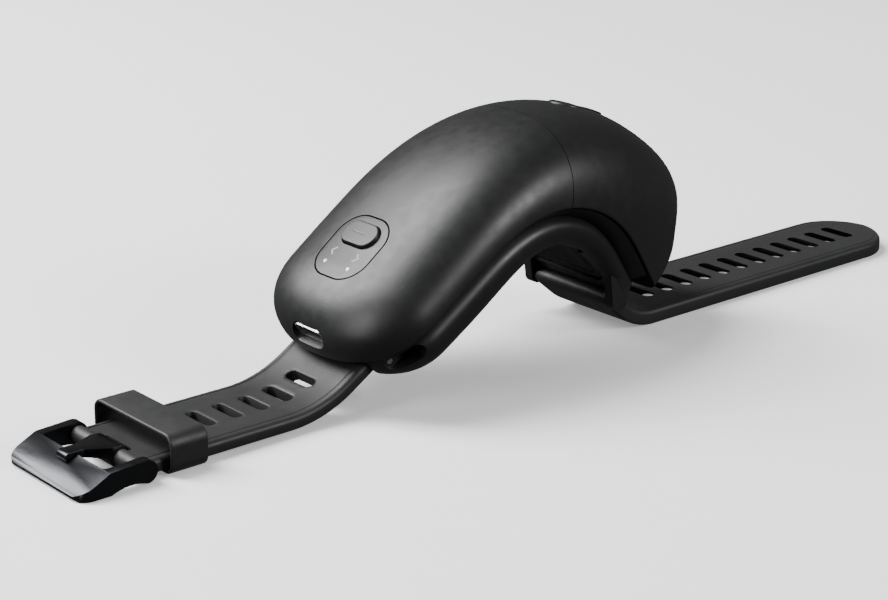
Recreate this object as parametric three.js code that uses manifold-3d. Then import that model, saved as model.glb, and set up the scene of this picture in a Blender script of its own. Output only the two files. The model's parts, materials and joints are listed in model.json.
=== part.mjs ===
// Wrist-worn VR motion controller: an arched electronics pod on a two-part watch strap.
// Millimetres, +Z up. +X runs from the buckle to the strap's tip, +Y across the strap.
// The origin is under the middle of the whole object, on the surface it lies on.
import * as THREE from 'three';
import { mergeVertices } from 'three/addons/utils/BufferGeometryUtils.js';
import Module from 'manifold-3d';

const wasm = await Module();
wasm.setup();

// ---------------------------------------------------------------- driving dimensions
const DEG = Math.PI / 180;
const GAP = 0.3;                       // clearance between neighbouring parts
const PIVOT_GAP = 0.1;                 // running clearance round a pivot pin
const LOOP_GAP = 0.1;                  // clearance between the strap and its keeper loop

// Parting line between the top covers and the lower housing, seen from the side.
const NOSE = { x: -73, z: 10 };        // where the line starts, at the nose
const RAMP_SLOPE = 34.5 * DEG;
const HEEL_SLOPE = 48 * DEG;
const RAMP_LENGTH = 27.5;
const CROWN_LENGTH = 55;
const HEEL_LENGTH = 16;
const BODY_LENGTH = RAMP_LENGTH + CROWN_LENGTH + HEEL_LENGTH;

// Cross-sections, as [share of the parting line, size].
const HALF_WIDTH = [[0, 21], [0.25, 21.2], [0.5, 20.8], [0.75, 19.2], [1, 12.4]];
const DOME_HEIGHT = [[0, 10.5], [0.2, 10.9], [0.45, 12.6], [0.72, 21], [0.9, 22.6], [1, 13.5]];
const TRAY_DEPTH = [[0, 9.6], [0.3, 10.8], [0.55, 9.2], [0.8, 7.6], [1, 8]];
const STEP = [[0, 1.5], [0.45, 1.5], [0.75, 2.4], [1, 2.4]];   // how far it sits in under the covers
const BAND = [[0, 1.4], [0.3, 1.8], [0.75, 2.6], [1, 2.6]];    // depth of the flare under the covers
const DOME_POWER = 2.35;               // superellipse exponent of the top covers
const TRAY_POWER = 2.25;               // superellipse exponent of the lower housing's corners
const TRAY_FLAT = 0.68;                // share of its width that is flat underneath
const TRAY_BULGE = 0.35;               // depth of its widest line, as a share of its side
const TRAY_TUCK = 50 * DEG;            // how far its side rounds in again under the flare
const NOSE_LENGTH = 15.7;              // length over which the nose closes
const NOSE_POWER = 2.35;
const HEEL_ROUND = 3;                  // edge radius of the heel's end

const WALL = 1.6;
const TRAY_WALL = 2;
const LIP_HEIGHT = 1.4;
const LIP_WALL = 1.5;
const SEAM = 0.56;                     // share of the parting line where the covers meet
const TONGUE_LENGTH = 2.5;             // lap joint under the seam
const TONGUE_WALL = 1;
const TRAY_END = 0.93;                 // share of the parting line where the lower housing ends
const NOSE_BLOCK = 12;                 // solid stretch of the lower housing round the nose pivot

// Wrist pad
const PAD_START = 0.4;
const PAD_END = 0.865;
const PAD_HALF_WIDTH = 11.5;
const PAD_SUNK = 0.4;                  // how far the pad lies below the face of the lower housing
const PAD_SEAT = 1.4;                  // depth of its recess

// Button plate and power button on the ramp
const PLATE = { at: 18.8, length: 15, width: 13.7, corner: 5.2 };
const PLATE_THICKNESS = 1.3;
const POWER_BUTTON = { at: 21.8, length: 5.4, width: 9.2, corner: 2.6 };
const POWER_BUTTON_RISE = 0.75;
const GUIDE_RADIUS = 0.45;
const GUIDE_AT = 14.1;
const GUIDE_SPACING = 7;

// Menu button on the crown
const MENU_FROM_SEAM = 10.84;
const MENU_BUTTON = { at: SEAM * BODY_LENGTH + MENU_FROM_SEAM, length: 11, width: 5.2, corner: 2.6 };
const BEZEL_RIM = 0.9;
const BEZEL_RISE = 0.35;
const MENU_BUTTON_RISE = 0.25;
const BEZEL_DEPTH = 1.4;               // how far the bezel reaches below the outer surface
const FLANGE = { rim: 0.7, from: 1.5, to: 2.1 };   // ledge that keeps a button in its opening
const PRESS_ROOM = 0.7;                // from a button's underside to its switch, more than the travel
const MENU_PRESS_ROOM = 1.2;           // more on the crown, where the underside slopes

// USB-C port, in the ramp's own frame
const PORT_HEIGHT = 4.1;
const PORT_WIDTH = 8.94;
const PORT_THICKNESS = 3.26;
const PORT_LENGTH = 7.3;
const PORT_WALL = 0.3;
const PORT_START = 1.6;
const SEAL = { width: 0.4, from: 5.3, to: 6.2 };   // gasket behind the cover's wall

// Strap
const STRAP_WIDTH = 22;
const TAIL_THICKNESS = 3.3;
const BUCKLE_THICKNESS = 2.7;
const STRAP_EDGE = 0.6;
const TAIL_FLAT = 81.6;                // flat stretch of the tail strap, up to its tip
const BUCKLE_FLAT = 33;                // flat stretch of the buckle strap, up to the buckle pin
const TAIL_SLOPE = 40 * DEG;
const BUCKLE_SLOPE = 32 * DEG;
const TAIL_BEND = 14;
const BUCKLE_BEND = 26.5;
const SLOT_PITCH = 6;
const SLOT_LENGTH = 8;
const SLOT_WIDTH = 2.3;
const TIP_TO_SLOT = 9.7;
const ROOT_TO_SLOT = 12;
const BUCKLE_SLOTS = 5;

// Strap pivots: along the parting line and below it
const NOSE_PIN = { along: 6.4, drop: 3.7 };
const HEEL_PIN = { back: 8.5, drop: 8.8 };
const SPRING_BAR_RADIUS = 0.75;
const LUG_RADIUS = 2;
const LUG_WALL = 2.2;
const LUG_TOP = 4;                     // how far below the parting line the heel's lugs start
const BAR_REACH = { nose: 2.8, heel: 1.4 };   // how far each spring bar enters its lugs
const ACCESS = { length: 7, width: 3, ahead: 2 };   // recess over the nose bar's ends
const STRAP_SWING_ROOM = 0.5;          // extra room behind a strap's root

// Keeper loop
const KEEPER_WALL = 0.7;
const KEEPER_LENGTH = 8;
const KEEPER_FROM_PIN = 5;
const KEEPER_INNER_HEIGHT = 6.4;
const KEEPER_SIDE_ROOM = 1.3;
const KEEPER_CORNER = 2.4;

// Buckle
const PIN_RADIUS = 0.8;
const PIN_EYE = 1.65;                  // radius of the strap's end round the pin
const PIN_COVER = 0.8;                 // metal left over the pin's ends
const BUCKLE_WIDTH = 25.6;
const BUCKLE_ARM = 2.2;
const ARM_RADIUS = 2.2;
const BUCKLE_REACH = 14;               // from the pin to the front edge
const PLATE_DEPTH = 6.5;
const BUCKLE_CORNER = 3;
const BUCKLE_TOP = 4.3;
const BUCKLE_FRONT = 1.4;
const TANG_THICKNESS = 1.4;
const TANG_BASE = 8;
const TANG_TIP = 3.2;
const TANG_NOTCH = 0.9;
const TANG_HUB = 2.1;
const TANG_HOOK = 2.4;                 // how far the tongue reaches over the frame

// Inside
const BOARD = { start: 6.4, end: 43, neck: 5.5, shoulder: 13, halfWidth: 12.4, thickness: 1 };
const BATTERY = { start: 16, end: 42, halfWidth: 11.2, height: 5, top: -2.4 };
const FOAM_THICKNESS = 1.2;
const FOAM_MARGIN = 2;
const BUTTON_BOARD = { start: 13.2, end: 26.5, halfWidth: 5.4, thickness: 0.6 };
const RISER_WALL = 0.8;
const SWITCH = { length: 3.6, width: 3.6, height: 1.6 };
const LED = { length: 1.6, width: 1.2, height: 0.7 };
const CHIP = { at: 18, side: 9, size: 3, height: 1 };
const SHIELD = { start: 27.5, end: 39, halfWidth: 8, height: 1.8, wall: 0.25 };
const FLEX = { start: 0.3, end: 0.49, halfWidth: 3.4, thickness: 0.25, inset: 3.2 };
const LED_ROWS = 3;                    // pairs of tracking lights along the flex
const LED_SIDE = 1.8;
const SCREW_HEAD = { radius: 1.5, height: 1.1 };
const SCREW_SHANK = 0.85;
const SCREW_LENGTH = 8;
const BOSS_RADIUS = 2.2;
const POST_RADIUS = 2.6;
const PILOT_DEPTH = 5.5;
const REAR_SCREW_FROM_SEAM = 14.84;
const SCREW_SEATS = [{ at: 19, side: 15 }, { at: SEAM * BODY_LENGTH + REAR_SCREW_FROM_SEAM, side: 12.4 }];
const HEAD_SEAT = 4;                   // depth of a screw head's seat below the parting line

// ---------------------------------------------------------------- small helpers
const COLOURS = {
  cover: ['#3b3d40', 0.55, 0.05],
  tray: ['#2a2b2d', 0.6, 0.02],
  silicone: ['#262729', 0.85, 0],
  button: ['#46484b', 0.5, 0.05],
  steel: ['#8d9095', 0.32, 0.95],
  buckle: ['#55575c', 0.35, 0.9],
  board: ['#12402b', 0.6, 0.1],
  chip: ['#1a1a1c', 0.5, 0.1],
  can: ['#b9bcc0', 0.35, 0.9],
  cell: ['#9ea2a8', 0.45, 0.5],
  foam: ['#3a3a3a', 0.95, 0],
  lens: ['#e8ecef', 0.25, 0],
};
const object = new THREE.Group();

function addMesh(name, geometry, colour, parent = object) {
  const [tint, roughness, metalness] = COLOURS[colour];
  const material = new THREE.MeshStandardMaterial({ color: tint, roughness, metalness });
  const mesh = new THREE.Mesh(geometry, material);
  mesh.name = name;
  parent.add(mesh);
  return mesh;
}

// A manifold solid from a closed three.js geometry, and back.
function solidOf(geometry) {
  const bare = geometry.clone();
  bare.deleteAttribute('normal');
  bare.deleteAttribute('uv');
  const merged = mergeVertices(bare, 1e-4);
  const vertProperties = new Float32Array(merged.attributes.position.array);
  const triVerts = new Uint32Array(merged.index.array);
  return new wasm.Manifold(new wasm.Mesh({ numProp: 3, vertProperties, triVerts }));
}

function geometryOf(solid) {
  const mesh = solid.getMesh();
  const geometry = new THREE.BufferGeometry();
  geometry.setAttribute('position', new THREE.BufferAttribute(mesh.vertProperties, 3));
  geometry.setIndex(new THREE.BufferAttribute(mesh.triVerts, 1));
  return geometry;
}

// Smooth curve through [position, value] pairs: cubic pieces with central slopes.
function through(stations, at) {
  const last = stations.length - 1;
  const slope = (i) => {
    const [a, b] = [stations[Math.max(i - 1, 0)], stations[Math.min(i + 1, last)]];
    return (b[1] - a[1]) / (b[0] - a[0]);
  };
  let i = 0;
  while (i < last - 1 && at > stations[i + 1][0]) i += 1;
  const [x0, y0] = stations[i];
  const [x1, y1] = stations[i + 1];
  const span = x1 - x0;
  const t = (at - x0) / span;
  const rise = y0 * (1 + 2 * t) * (1 - t) ** 2 + y1 * t * t * (3 - 2 * t);
  return rise + span * (slope(i) * t * (1 - t) ** 2 - slope(i + 1) * t * t * (1 - t));
}

function spread(start, end, step) {
  const count = Math.max(1, Math.ceil((end - start) / step));
  return Array.from({ length: count + 1 }, (_, i) => start + ((end - start) * i) / count);
}

// ---------------------------------------------------------------- parting line
function heading(at) {
  const turned = THREE.MathUtils.smoothstep(at, RAMP_LENGTH, RAMP_LENGTH + CROWN_LENGTH);
  return RAMP_SLOPE - (RAMP_SLOPE + HEEL_SLOPE) * turned;
}

const LINE_STEPS = 400;
const lineStep = BODY_LENGTH / LINE_STEPS;
const line = [new THREE.Vector2(NOSE.x, NOSE.z)];
for (let i = 0; i < LINE_STEPS; i += 1) {
  const angle = heading((i + 0.5) * lineStep);
  const { x, y } = line[i];
  line.push(new THREE.Vector2(x + lineStep * Math.cos(angle), y + lineStep * Math.sin(angle)));
}

function linePoint(at) {
  const i = Math.min(Math.max(Math.floor(at / lineStep), 0), LINE_STEPS - 1);
  return line[i].clone().lerp(line[i + 1], at / lineStep - i);
}

// Local frame on the parting line: x along it, y across the body, z out of the dome.
function frameAt(at) {
  const { x, y } = linePoint(at);
  return new THREE.Matrix4().makeRotationY(-heading(at)).setPosition(x, 0, y);
}

function onFrame(at, side, up) {
  return new THREE.Vector3(0, side, up).applyMatrix4(frameAt(at));
}

// ---------------------------------------------------------------- lofted body shapes
function noseClosing(at, inset) {
  const t = THREE.MathUtils.clamp((at - inset) / (NOSE_LENGTH - inset), 0, 1);
  return (1 - (1 - t) ** NOSE_POWER) ** (1 / NOSE_POWER);
}

function heelClosing(at) {
  const t = THREE.MathUtils.clamp((at - BODY_LENGTH + HEEL_ROUND) / HEEL_ROUND, 0, 1);
  return HEEL_ROUND * (1 - Math.sqrt(1 - t * t));
}

const noseStep = STEP[0][1];

function domeSize(at, inset) {
  const share = at / BODY_LENGTH;
  const nose = noseClosing(at, inset);
  return {
    half: (through(HALF_WIDTH, share) - inset) * nose - heelClosing(at),
    tall: (through(DOME_HEIGHT, share) - inset) * nose - heelClosing(at),
  };
}

function traySize(at, inset) {
  const share = at / BODY_LENGTH;
  const nose = noseClosing(at, noseStep + inset);
  const half = (through(HALF_WIDTH, share) - through(STEP, share) - inset) * nose;
  return {
    half,
    rim: inset > 0 ? half : (through(HALF_WIDTH, share) - GAP) * nose,
    band: through(BAND, share) * nose,
    tall: (through(TRAY_DEPTH, share) - inset) * nose,
  };
}

function bent(value, power) {
  return Math.sign(value) * Math.abs(value) ** (2 / power);
}

// Half a superellipse over the parting line, with an optional skirt straight down past it.
function domeArc({ half, tall }, at, skirt) {
  const points = Array.from({ length: SIDES + 1 }, (_, i) => {
    const angle = (Math.PI * i) / SIDES;
    const up = i % SIDES === 0 ? 0 : tall * bent(Math.sin(angle), DOME_POWER);
    return onFrame(at, half * bent(Math.cos(angle), DOME_POWER), up);
  });
  return skirt > 0 ? [...points, onFrame(at, -half, -skirt), onFrame(at, half, -skirt)] : points;
}

// Section of the lower housing: a flare under the cover, a bulging side and a flat underside.
function trayArc({ half, rim, band, tall }, at) {
  const widest = band + (tall - band) * TRAY_BULGE;
  const corner = (angle, side) => {
    const out = half * (TRAY_FLAT + (1 - TRAY_FLAT) * bent(Math.cos(angle), TRAY_POWER));
    const turn = bent(Math.sin(angle), TRAY_POWER);
    const room = angle < 0 ? (widest - band) / bent(Math.sin(TRAY_TUCK), TRAY_POWER) : tall - widest;
    return onFrame(at, side * out, -widest - room * turn);
  };
  const turns = [-TRAY_TUCK, -TRAY_TUCK / 2, ...spread(0, Math.PI / 2, Math.PI / SIDES)];
  const right = turns.map((angle) => corner(angle, -1));
  const left = turns.map((angle) => corner(angle, 1)).reverse();
  return [onFrame(at, -rim, 0), ...right, ...left, onFrame(at, rim, 0)];
}

// Closed solid through loops of points; a loop of one point is a tip.
function loft(loops) {
  const points = loops.flat();
  const index = [];
  const starts = [];
  loops.reduce((sum, loop) => {
    starts.push(sum);
    return sum + loop.length;
  }, 0);
  for (let i = 0; i + 1 < loops.length; i += 1) {
    const [a, b] = [starts[i], starts[i + 1]];
    const count = loops[i + 1].length;
    for (let j = 0; j < count; j += 1) {
      const k = (j + 1) % count;
      if (loops[i].length > 1) index.push(a + j, a + k, b + k);
      index.push(loops[i].length > 1 ? a + j : a, b + k, b + j);
    }
  }
  const cap = (loop, start, forward) => {
    const middle = loop.reduce((sum, p) => sum.add(p), new THREE.Vector3()).divideScalar(loop.length);
    const hub = points.push(middle) - 1;
    loop.forEach((_, j) => {
      const k = start + ((j + 1) % loop.length);
      index.push(hub, ...(forward ? [start + j, k] : [k, start + j]));
    });
  };
  const last = loops.length - 1;
  if (loops[0].length > 1) cap(loops[0], starts[0], false);
  cap(loops[last], starts[last], true);
  const geometry = new THREE.BufferGeometry().setFromPoints(points);
  geometry.setIndex(index);
  return solidOf(geometry);
}

const SIDES = 14;                      // facets round half a section
const ROW = 5.4;                       // spacing of sections along the body

function bodyRows(start, end, inset) {
  if (start > inset) return spread(start, end, ROW);
  const nose = Array.from({ length: 6 }, (_, i) => 1 - Math.cos((i * Math.PI) / 10));
  const rows = nose.map((share) => inset + (NOSE_LENGTH - inset) * share);
  return [...rows, ...spread(NOSE_LENGTH, end, ROW).slice(1)];
}

function bodyLoft(start, end, inset, loopAt, extraRows = []) {
  const rows = [...bodyRows(start, end, inset), ...extraRows];
  return loft(rows.map((at) => (at <= inset ? [onFrame(inset, 0, 0)] : loopAt(at))));
}

// Dome above the parting line; inset shrinks it evenly, a negative inset swells it.
// A skirt carries it straight down past the parting line, for cutting.
function dome(start, end, inset = 0, skirt = 0) {
  const heel = end >= BODY_LENGTH;
  const straightEnd = heel ? BODY_LENGTH - HEEL_ROUND : end;
  const rounds = heel ? [0.45, 0.75, 0.93, 1].map((t) => straightEnd + HEEL_ROUND * t) : [];
  const loop = (at) => domeArc(domeSize(at, inset), at, skirt);
  return bodyLoft(start, straightEnd, Math.max(inset, 0), loop, rounds);
}

// Tray below the parting line.
function tray(start, end, inset = 0) {
  const loop = (at) => trayArc(traySize(at, inset), at);
  return bodyLoft(start, end, noseStep + Math.max(inset, 0), loop);
}

// Straight-sided collar along the parting line, as wide as an outline says.
function collar(halfAt, start, end, low, high) {
  const rows = bodyRows(0, end, start).slice(1);
  return loft([start + 0.15, ...rows].map((at) => {
    const half = halfAt(at);
    const corners = [[half, low], [half, high], [-half, high], [-half, low]];
    return corners.map(([side, up]) => onFrame(at, side, up));
  }));
}

// Slab between two heights above the parting line, wider than the body.
function slab(start, end, low, high, half = 40) {
  const corners = [[half, low], [half, high], [-half, high], [-half, low]];
  return loft(spread(start, end, ROW).map((at) => corners.map(([side, up]) => onFrame(at, side, up))));
}

// ---------------------------------------------------------------- prisms
function roundedRect(length, width, corner) {
  const [x, y] = [length / 2, width / 2];
  const r = Math.min(corner, x - 0.01, y - 0.01);
  const shape = new THREE.Shape();
  shape.moveTo(x, y - r);
  shape.absarc(x - r, y - r, r, 0, Math.PI / 2);
  shape.absarc(r - x, y - r, r, Math.PI / 2, Math.PI);
  shape.absarc(r - x, r - y, r, Math.PI, 1.5 * Math.PI);
  shape.absarc(x - r, r - y, r, 1.5 * Math.PI, 2 * Math.PI);
  return shape;
}

function prism(shape, low, high, frame = new THREE.Matrix4(), curveSegments = 5) {
  const depth = high - low;
  const geometry = new THREE.ExtrudeGeometry(shape, { depth, bevelEnabled: false, curveSegments });
  return solidOf(geometry.translate(0, 0, low).applyMatrix4(frame));
}

// Prism across the strap from a side outline drawn in x and z.
function across(shape, from, to, curveSegments = 5) {
  const turn = new THREE.Matrix4().makeRotationX(Math.PI / 2);
  return prism(shape, -to, -from, turn, curveSegments);
}

function acrossCylinder(x, z, radius, from, to, sides = 14) {
  const geometry = new THREE.CylinderGeometry(radius, radius, to - from, sides);
  return geometry.translate(x, (from + to) / 2, z);
}

function box(x0, x1, y0, y1, z0, z1) {
  const geometry = new THREE.BoxGeometry(x1 - x0, y1 - y0, z1 - z0);
  return geometry.translate((x0 + x1) / 2, (y0 + y1) / 2, (z0 + z1) / 2);
}

// Outline grown evenly by a clearance.
function grown({ length, width, corner }, by) {
  return roundedRect(length + 2 * by, width + 2 * by, corner + by);
}

const PRISM_REACH = 30;

function drill(opening, by = 0) {
  return prism(grown(opening, by), 2, PRISM_REACH, frameAt(opening.at));
}

// ---------------------------------------------------------------- strap centre lines
// The tail lies on the surface; the keeper loop under the buckle strap lifts that one.
const tailMiddle = TAIL_THICKNESS / 2;
const buckleMiddle = KEEPER_WALL + LOOP_GAP + BUCKLE_THICKNESS / 2;
const pinHeight = KEEPER_WALL + LOOP_GAP + PIN_EYE;
const nosePivot = onFrame(NOSE_PIN.along, 0, -NOSE_PIN.drop);
const heelPivot = onFrame(BODY_LENGTH - HEEL_PIN.back, 0, -HEEL_PIN.drop);

// Points {x, z, angle} from the pivot down the root, round the bend and along the flat.
function strapLine(pivot, side, slope, bend, flat, middle) {
  const drop = pivot.z - middle;
  const straight = (drop - bend * (1 - Math.cos(slope))) / Math.sin(slope);
  const points = [{ u: 0, z: pivot.z, angle: slope }];
  const bendStart = straight * Math.cos(slope);
  const flatStart = bendStart + bend * Math.sin(slope);
  spread(0, slope, slope / 7).forEach((turned) => {
    const angle = slope - turned;
    points.push({ u: flatStart - bend * Math.sin(angle), z: middle + bend * (1 - Math.cos(angle)), angle });
  });
  points.push({ u: flatStart + flat, z: middle, angle: 0 });
  const placed = points.map(({ u, z, angle }) => ({ x: pivot.x + side * u, z, angle }));
  return { points: placed, flatStart, straight, middle };
}

// Side outline of a band of even thickness with a round root, and a round end if asked.
function bandOutline(points, side, half, roundEnd) {
  const edge = (sign) => points.map(({ x, z, angle }) => new THREE.Vector2(
    x + side * sign * half * Math.sin(angle), z + sign * half * Math.cos(angle)));
  const round = ({ x, z, angle }, back) => spread(0, Math.PI, Math.PI / 7).slice(1, -1).map((turn) => {
    const around = back ? -Math.PI / 2 - turn : Math.PI / 2 - turn;
    const tilt = around - angle;
    return new THREE.Vector2(x + side * half * Math.cos(tilt), z + half * Math.sin(tilt));
  });
  const end = roundEnd ? round(points[points.length - 1], false) : [];
  return new THREE.Shape([...edge(1), ...end, ...edge(-1).reverse(), ...round(points[0], true)]);
}

function strapBlank(outline) {
  const edge = STRAP_EDGE;
  const bevel = { bevelThickness: edge, bevelSize: edge, bevelOffset: -edge, bevelSegments: 1 };
  const depth = STRAP_WIDTH - 2 * edge;
  const geometry = new THREE.ExtrudeGeometry(outline, { depth, ...bevel });
  return solidOf(geometry.translate(0, 0, -depth / 2).rotateX(Math.PI / 2));
}

// Slot through the strap at a distance from the pivot, square to the band.
function slotCutter(path, pivot, side, slope, bend, distance) {
  const flatFrom = path.straight + bend * slope;
  const turned = THREE.MathUtils.clamp((flatFrom - distance) / bend, 0, slope);
  const u = path.flatStart + Math.max(distance - flatFrom, 0) - bend * Math.sin(turned);
  const z = path.middle + bend * (1 - Math.cos(turned));
  const frame = new THREE.Matrix4().makeRotationY(side * turned).setPosition(pivot.x + side * u, 0, z);
  const outline = roundedRect(SLOT_WIDTH, SLOT_LENGTH, SLOT_WIDTH / 2);
  return prism(outline, -TAIL_THICKNESS, TAIL_THICKNESS, frame, 3);
}

function union(solids) {
  return solids.reduce((sum, solid) => sum.add(solid));
}

// ---------------------------------------------------------------- strap halves
const tailPath = strapLine(heelPivot, 1, TAIL_SLOPE, TAIL_BEND, TAIL_FLAT, tailMiddle);
const bucklePath = strapLine(nosePivot, -1, BUCKLE_SLOPE, BUCKLE_BEND, BUCKLE_FLAT, buckleMiddle);
const bucklePinX = nosePivot.x - bucklePath.flatStart - BUCKLE_FLAT;

function tailStrap() {
  const { points, flatStart, straight } = tailPath;
  const tipX = heelPivot.x + flatStart + TAIL_FLAT;
  const half = STRAP_WIDTH / 2;
  const plan = new THREE.Shape();
  plan.moveTo(tipX - half, -half - 1);
  plan.absarc(tipX - half, 0, half, -Math.PI / 2, Math.PI / 2);
  plan.lineTo(tipX - half, half + 1);
  plan.lineTo(heelPivot.x - half, half + 1);
  plan.lineTo(heelPivot.x - half, -half - 1);
  const blank = strapBlank(bandOutline(points, 1, TAIL_THICKNESS / 2, false));
  const trimmed = blank.intersect(prism(plan, -1, PRISM_REACH, undefined, 10));
  const total = straight + TAIL_BEND * TAIL_SLOPE + TAIL_FLAT;
  const count = Math.floor((TAIL_FLAT - TIP_TO_SLOT - SLOT_WIDTH) / SLOT_PITCH) + 1;
  const slots = Array.from({ length: count }, (_, i) => slotCutter(
    tailPath, heelPivot, 1, TAIL_SLOPE, TAIL_BEND, total - TIP_TO_SLOT - i * SLOT_PITCH));
  const boreRadius = SPRING_BAR_RADIUS + PIVOT_GAP;
  const bore = acrossCylinder(heelPivot.x, heelPivot.z, boreRadius, -STRAP_WIDTH, STRAP_WIDTH);
  return trimmed.subtract(union(slots)).subtract(solidOf(bore));
}

function buckleStrap() {
  const outline = bandOutline(bucklePath.points, -1, BUCKLE_THICKNESS / 2, true);
  const slots = Array.from({ length: BUCKLE_SLOTS }, (_, i) => slotCutter(
    bucklePath, nosePivot, -1, BUCKLE_SLOPE, BUCKLE_BEND, ROOT_TO_SLOT + i * SLOT_PITCH));
  const armEnd = bucklePinX + ARM_RADIUS + GAP;
  const armRoom = solidOf(box(bucklePinX - 9, armEnd, 0, STRAP_WIDTH, -1, PRISM_REACH));
  const inner = BUCKLE_WIDTH / 2 - BUCKLE_ARM - GAP;
  const sides = armRoom.translate(0, inner, 0).add(armRoom.translate(0, -inner - STRAP_WIDTH, 0));
  const tangHalf = TANG_BASE / 2 + GAP;
  const tangEnd = bucklePinX + TANG_HUB + GAP;
  const tangRoom = solidOf(box(bucklePinX - 9, tangEnd, -tangHalf, tangHalf, -1, PRISM_REACH));
  const half = STRAP_WIDTH / 2;
  const eye = solidOf(acrossCylinder(bucklePinX, pinHeight, PIN_EYE, -half, half, 20));
  const bars = [[nosePivot.x, nosePivot.z, SPRING_BAR_RADIUS], [bucklePinX, pinHeight, PIN_RADIUS]];
  const bores = bars.map(([x, z, radius]) => solidOf(
    acrossCylinder(x, z, radius + PIVOT_GAP, -STRAP_WIDTH, STRAP_WIDTH)));
  return strapBlank(outline).add(eye).subtract(union([...slots, sides, tangRoom, ...bores]));
}

// Room that a strap root needs in the housing: everything under its top face as it hangs.
function rootRoom(pivot, side, slope, thickness) {
  const half = STRAP_WIDTH / 2 + GAP;
  const reach = 26;
  const over = thickness / 2 + GAP;
  const behind = thickness / 2 + STRAP_SWING_ROOM;
  const at = (u, z) => new THREE.Vector2(pivot.x + side * u, pivot.z + z);
  const [run, drop] = [Math.cos(slope), Math.sin(slope)];
  const topStart = at(over * drop, over * run);
  const topEnd = at(over * drop + reach * run, over * run - reach * drop);
  const shape = new THREE.Shape([
    topStart, topEnd, at(reach, -reach), at(-behind, -reach), at(-behind, 0),
    at(-behind * 0.7, behind * 0.75), at(-behind * 0.15, over * 1.02)]);
  return across(shape, -half, half);
}

// ---------------------------------------------------------------- housing shells
const seamAt = SEAM * BODY_LENGTH;
const trayEnd = TRAY_END * BODY_LENGTH;

function screwPlaces() {
  return SCREW_SEATS.flatMap(({ at, side }) => [{ at, side }, { at, side: -side }]);
}

// Upright cylinder in the local frame of the parting line.
function column(place, radius, low, high) {
  const geometry = new THREE.CylinderGeometry(radius, radius, high - low, 10).rotateX(Math.PI / 2);
  return solidOf(geometry.translate(0, place.side, (low + high) / 2).applyMatrix4(frameAt(place.at)));
}

function columns(places, radius, low, high) {
  return union(places.map((place) => column(place, radius, low, high)));
}

// USB-C outline grown by a clearance, run along the ramp between two distances.
function portPrism(by, from, to) {
  const outline = roundedRect(PORT_WIDTH + 2 * by, PORT_THICKNESS + 2 * by, PORT_THICKNESS / 2 + by);
  const turn = new THREE.Matrix4().makeBasis(
    new THREE.Vector3(0, 1, 0), new THREE.Vector3(0, 0, 1), new THREE.Vector3(1, 0, 0));
  const lifted = turn.setPosition(0, 0, PORT_HEIGHT);
  return prism(outline, from, to, frameAt(0).multiply(lifted));
}

// Ring that laps the front cover under the rear one, with a bridge that ties it on.
function seamLap(end) {
  const start = seamAt - 4;
  const reach = seamAt + TONGUE_LENGTH;
  const lapInset = WALL + 0.2;
  const ring = dome(start, reach, lapInset).subtract(dome(start - 1, reach + 1, lapInset + TONGUE_WALL, 1));
  const bridge = dome(start, end - 1, WALL - 0.2).subtract(dome(start - 1, end, lapInset + 0.2, 1));
  return ring.add(bridge).subtract(slab(start - 1, reach + 1, -1, LIP_HEIGHT + GAP));
}

function frontCover() {
  const end = seamAt - GAP / 2;
  const outer = dome(0, end);
  const places = screwPlaces().filter(({ at }) => at < seamAt);
  const bosses = columns(places, BOSS_RADIUS, -1, PRISM_REACH).intersect(outer);
  return outer.subtract(dome(0, seamAt + 4, WALL, 1)).add(seamLap(end)).add(bosses)
    .subtract(columns(places, SCREW_SHANK + PIVOT_GAP, -1, PILOT_DEPTH))
    .subtract(drill(PLATE, GAP))
    .subtract(portPrism(GAP, -5, PORT_LENGTH));
}

function rearCover() {
  const start = seamAt + GAP / 2;
  const outer = dome(start, BODY_LENGTH);
  const places = screwPlaces().filter(({ at }) => at > seamAt);
  const bosses = columns(places, BOSS_RADIUS, -1, PRISM_REACH).intersect(outer);
  const toeFloor = slab(trayEnd - WALL, BODY_LENGTH, -2, WALL);
  return outer.subtract(dome(start - 4, BODY_LENGTH - WALL, WALL, 1).subtract(toeFloor)).add(bosses)
    .subtract(columns(places, SCREW_SHANK + PIVOT_GAP, -1, PILOT_DEPTH))
    .subtract(drill(MENU_BUTTON, BEZEL_RIM + GAP));
}

// Ears that carry the tail strap's spring bar, one on each side of the strap.
function heelLugs() {
  const inner = STRAP_WIDTH / 2 + GAP;
  const [near, far] = [trayEnd - 12, trayEnd - 2].map((at) => onFrame(at, 0, -LUG_TOP));
  const outline = new THREE.Shape();
  outline.moveTo(near.x, near.z);
  outline.lineTo(far.x, far.z);
  outline.absarc(heelPivot.x, heelPivot.z, LUG_RADIUS, 0, -Math.PI, true);
  return across(outline, inner, inner + LUG_WALL).add(across(outline, -inner - LUG_WALL, -inner));
}

// Holes for both spring bars, and recesses that reach the nose bar from outside.
function barHoles() {
  const boreHalf = (reach) => STRAP_WIDTH / 2 + GAP + reach + PIVOT_GAP;
  const bore = ({ x, z }, half) => solidOf(acrossCylinder(x, z, SPRING_BAR_RADIUS + PIVOT_GAP, -half, half));
  const outline = roundedRect(ACCESS.length, ACCESS.width, ACCESS.width / 2);
  const tilt = new THREE.Matrix4().makeRotationX(Math.PI / 2);
  const ahead = new THREE.Matrix4().makeTranslation(ACCESS.ahead, 0, 0);
  const place = frameAt(0).setPosition(nosePivot).multiply(ahead).multiply(tilt);
  const recess = (from, to) => prism(outline, from, to, place);
  const noseHalf = boreHalf(BAR_REACH.nose);
  return union([bore(nosePivot, noseHalf), bore(heelPivot, boreHalf(BAR_REACH.heel)),
    recess(noseHalf - PIVOT_GAP, PRISM_REACH), recess(-PRISM_REACH, PIVOT_GAP - noseHalf)]);
}

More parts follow.
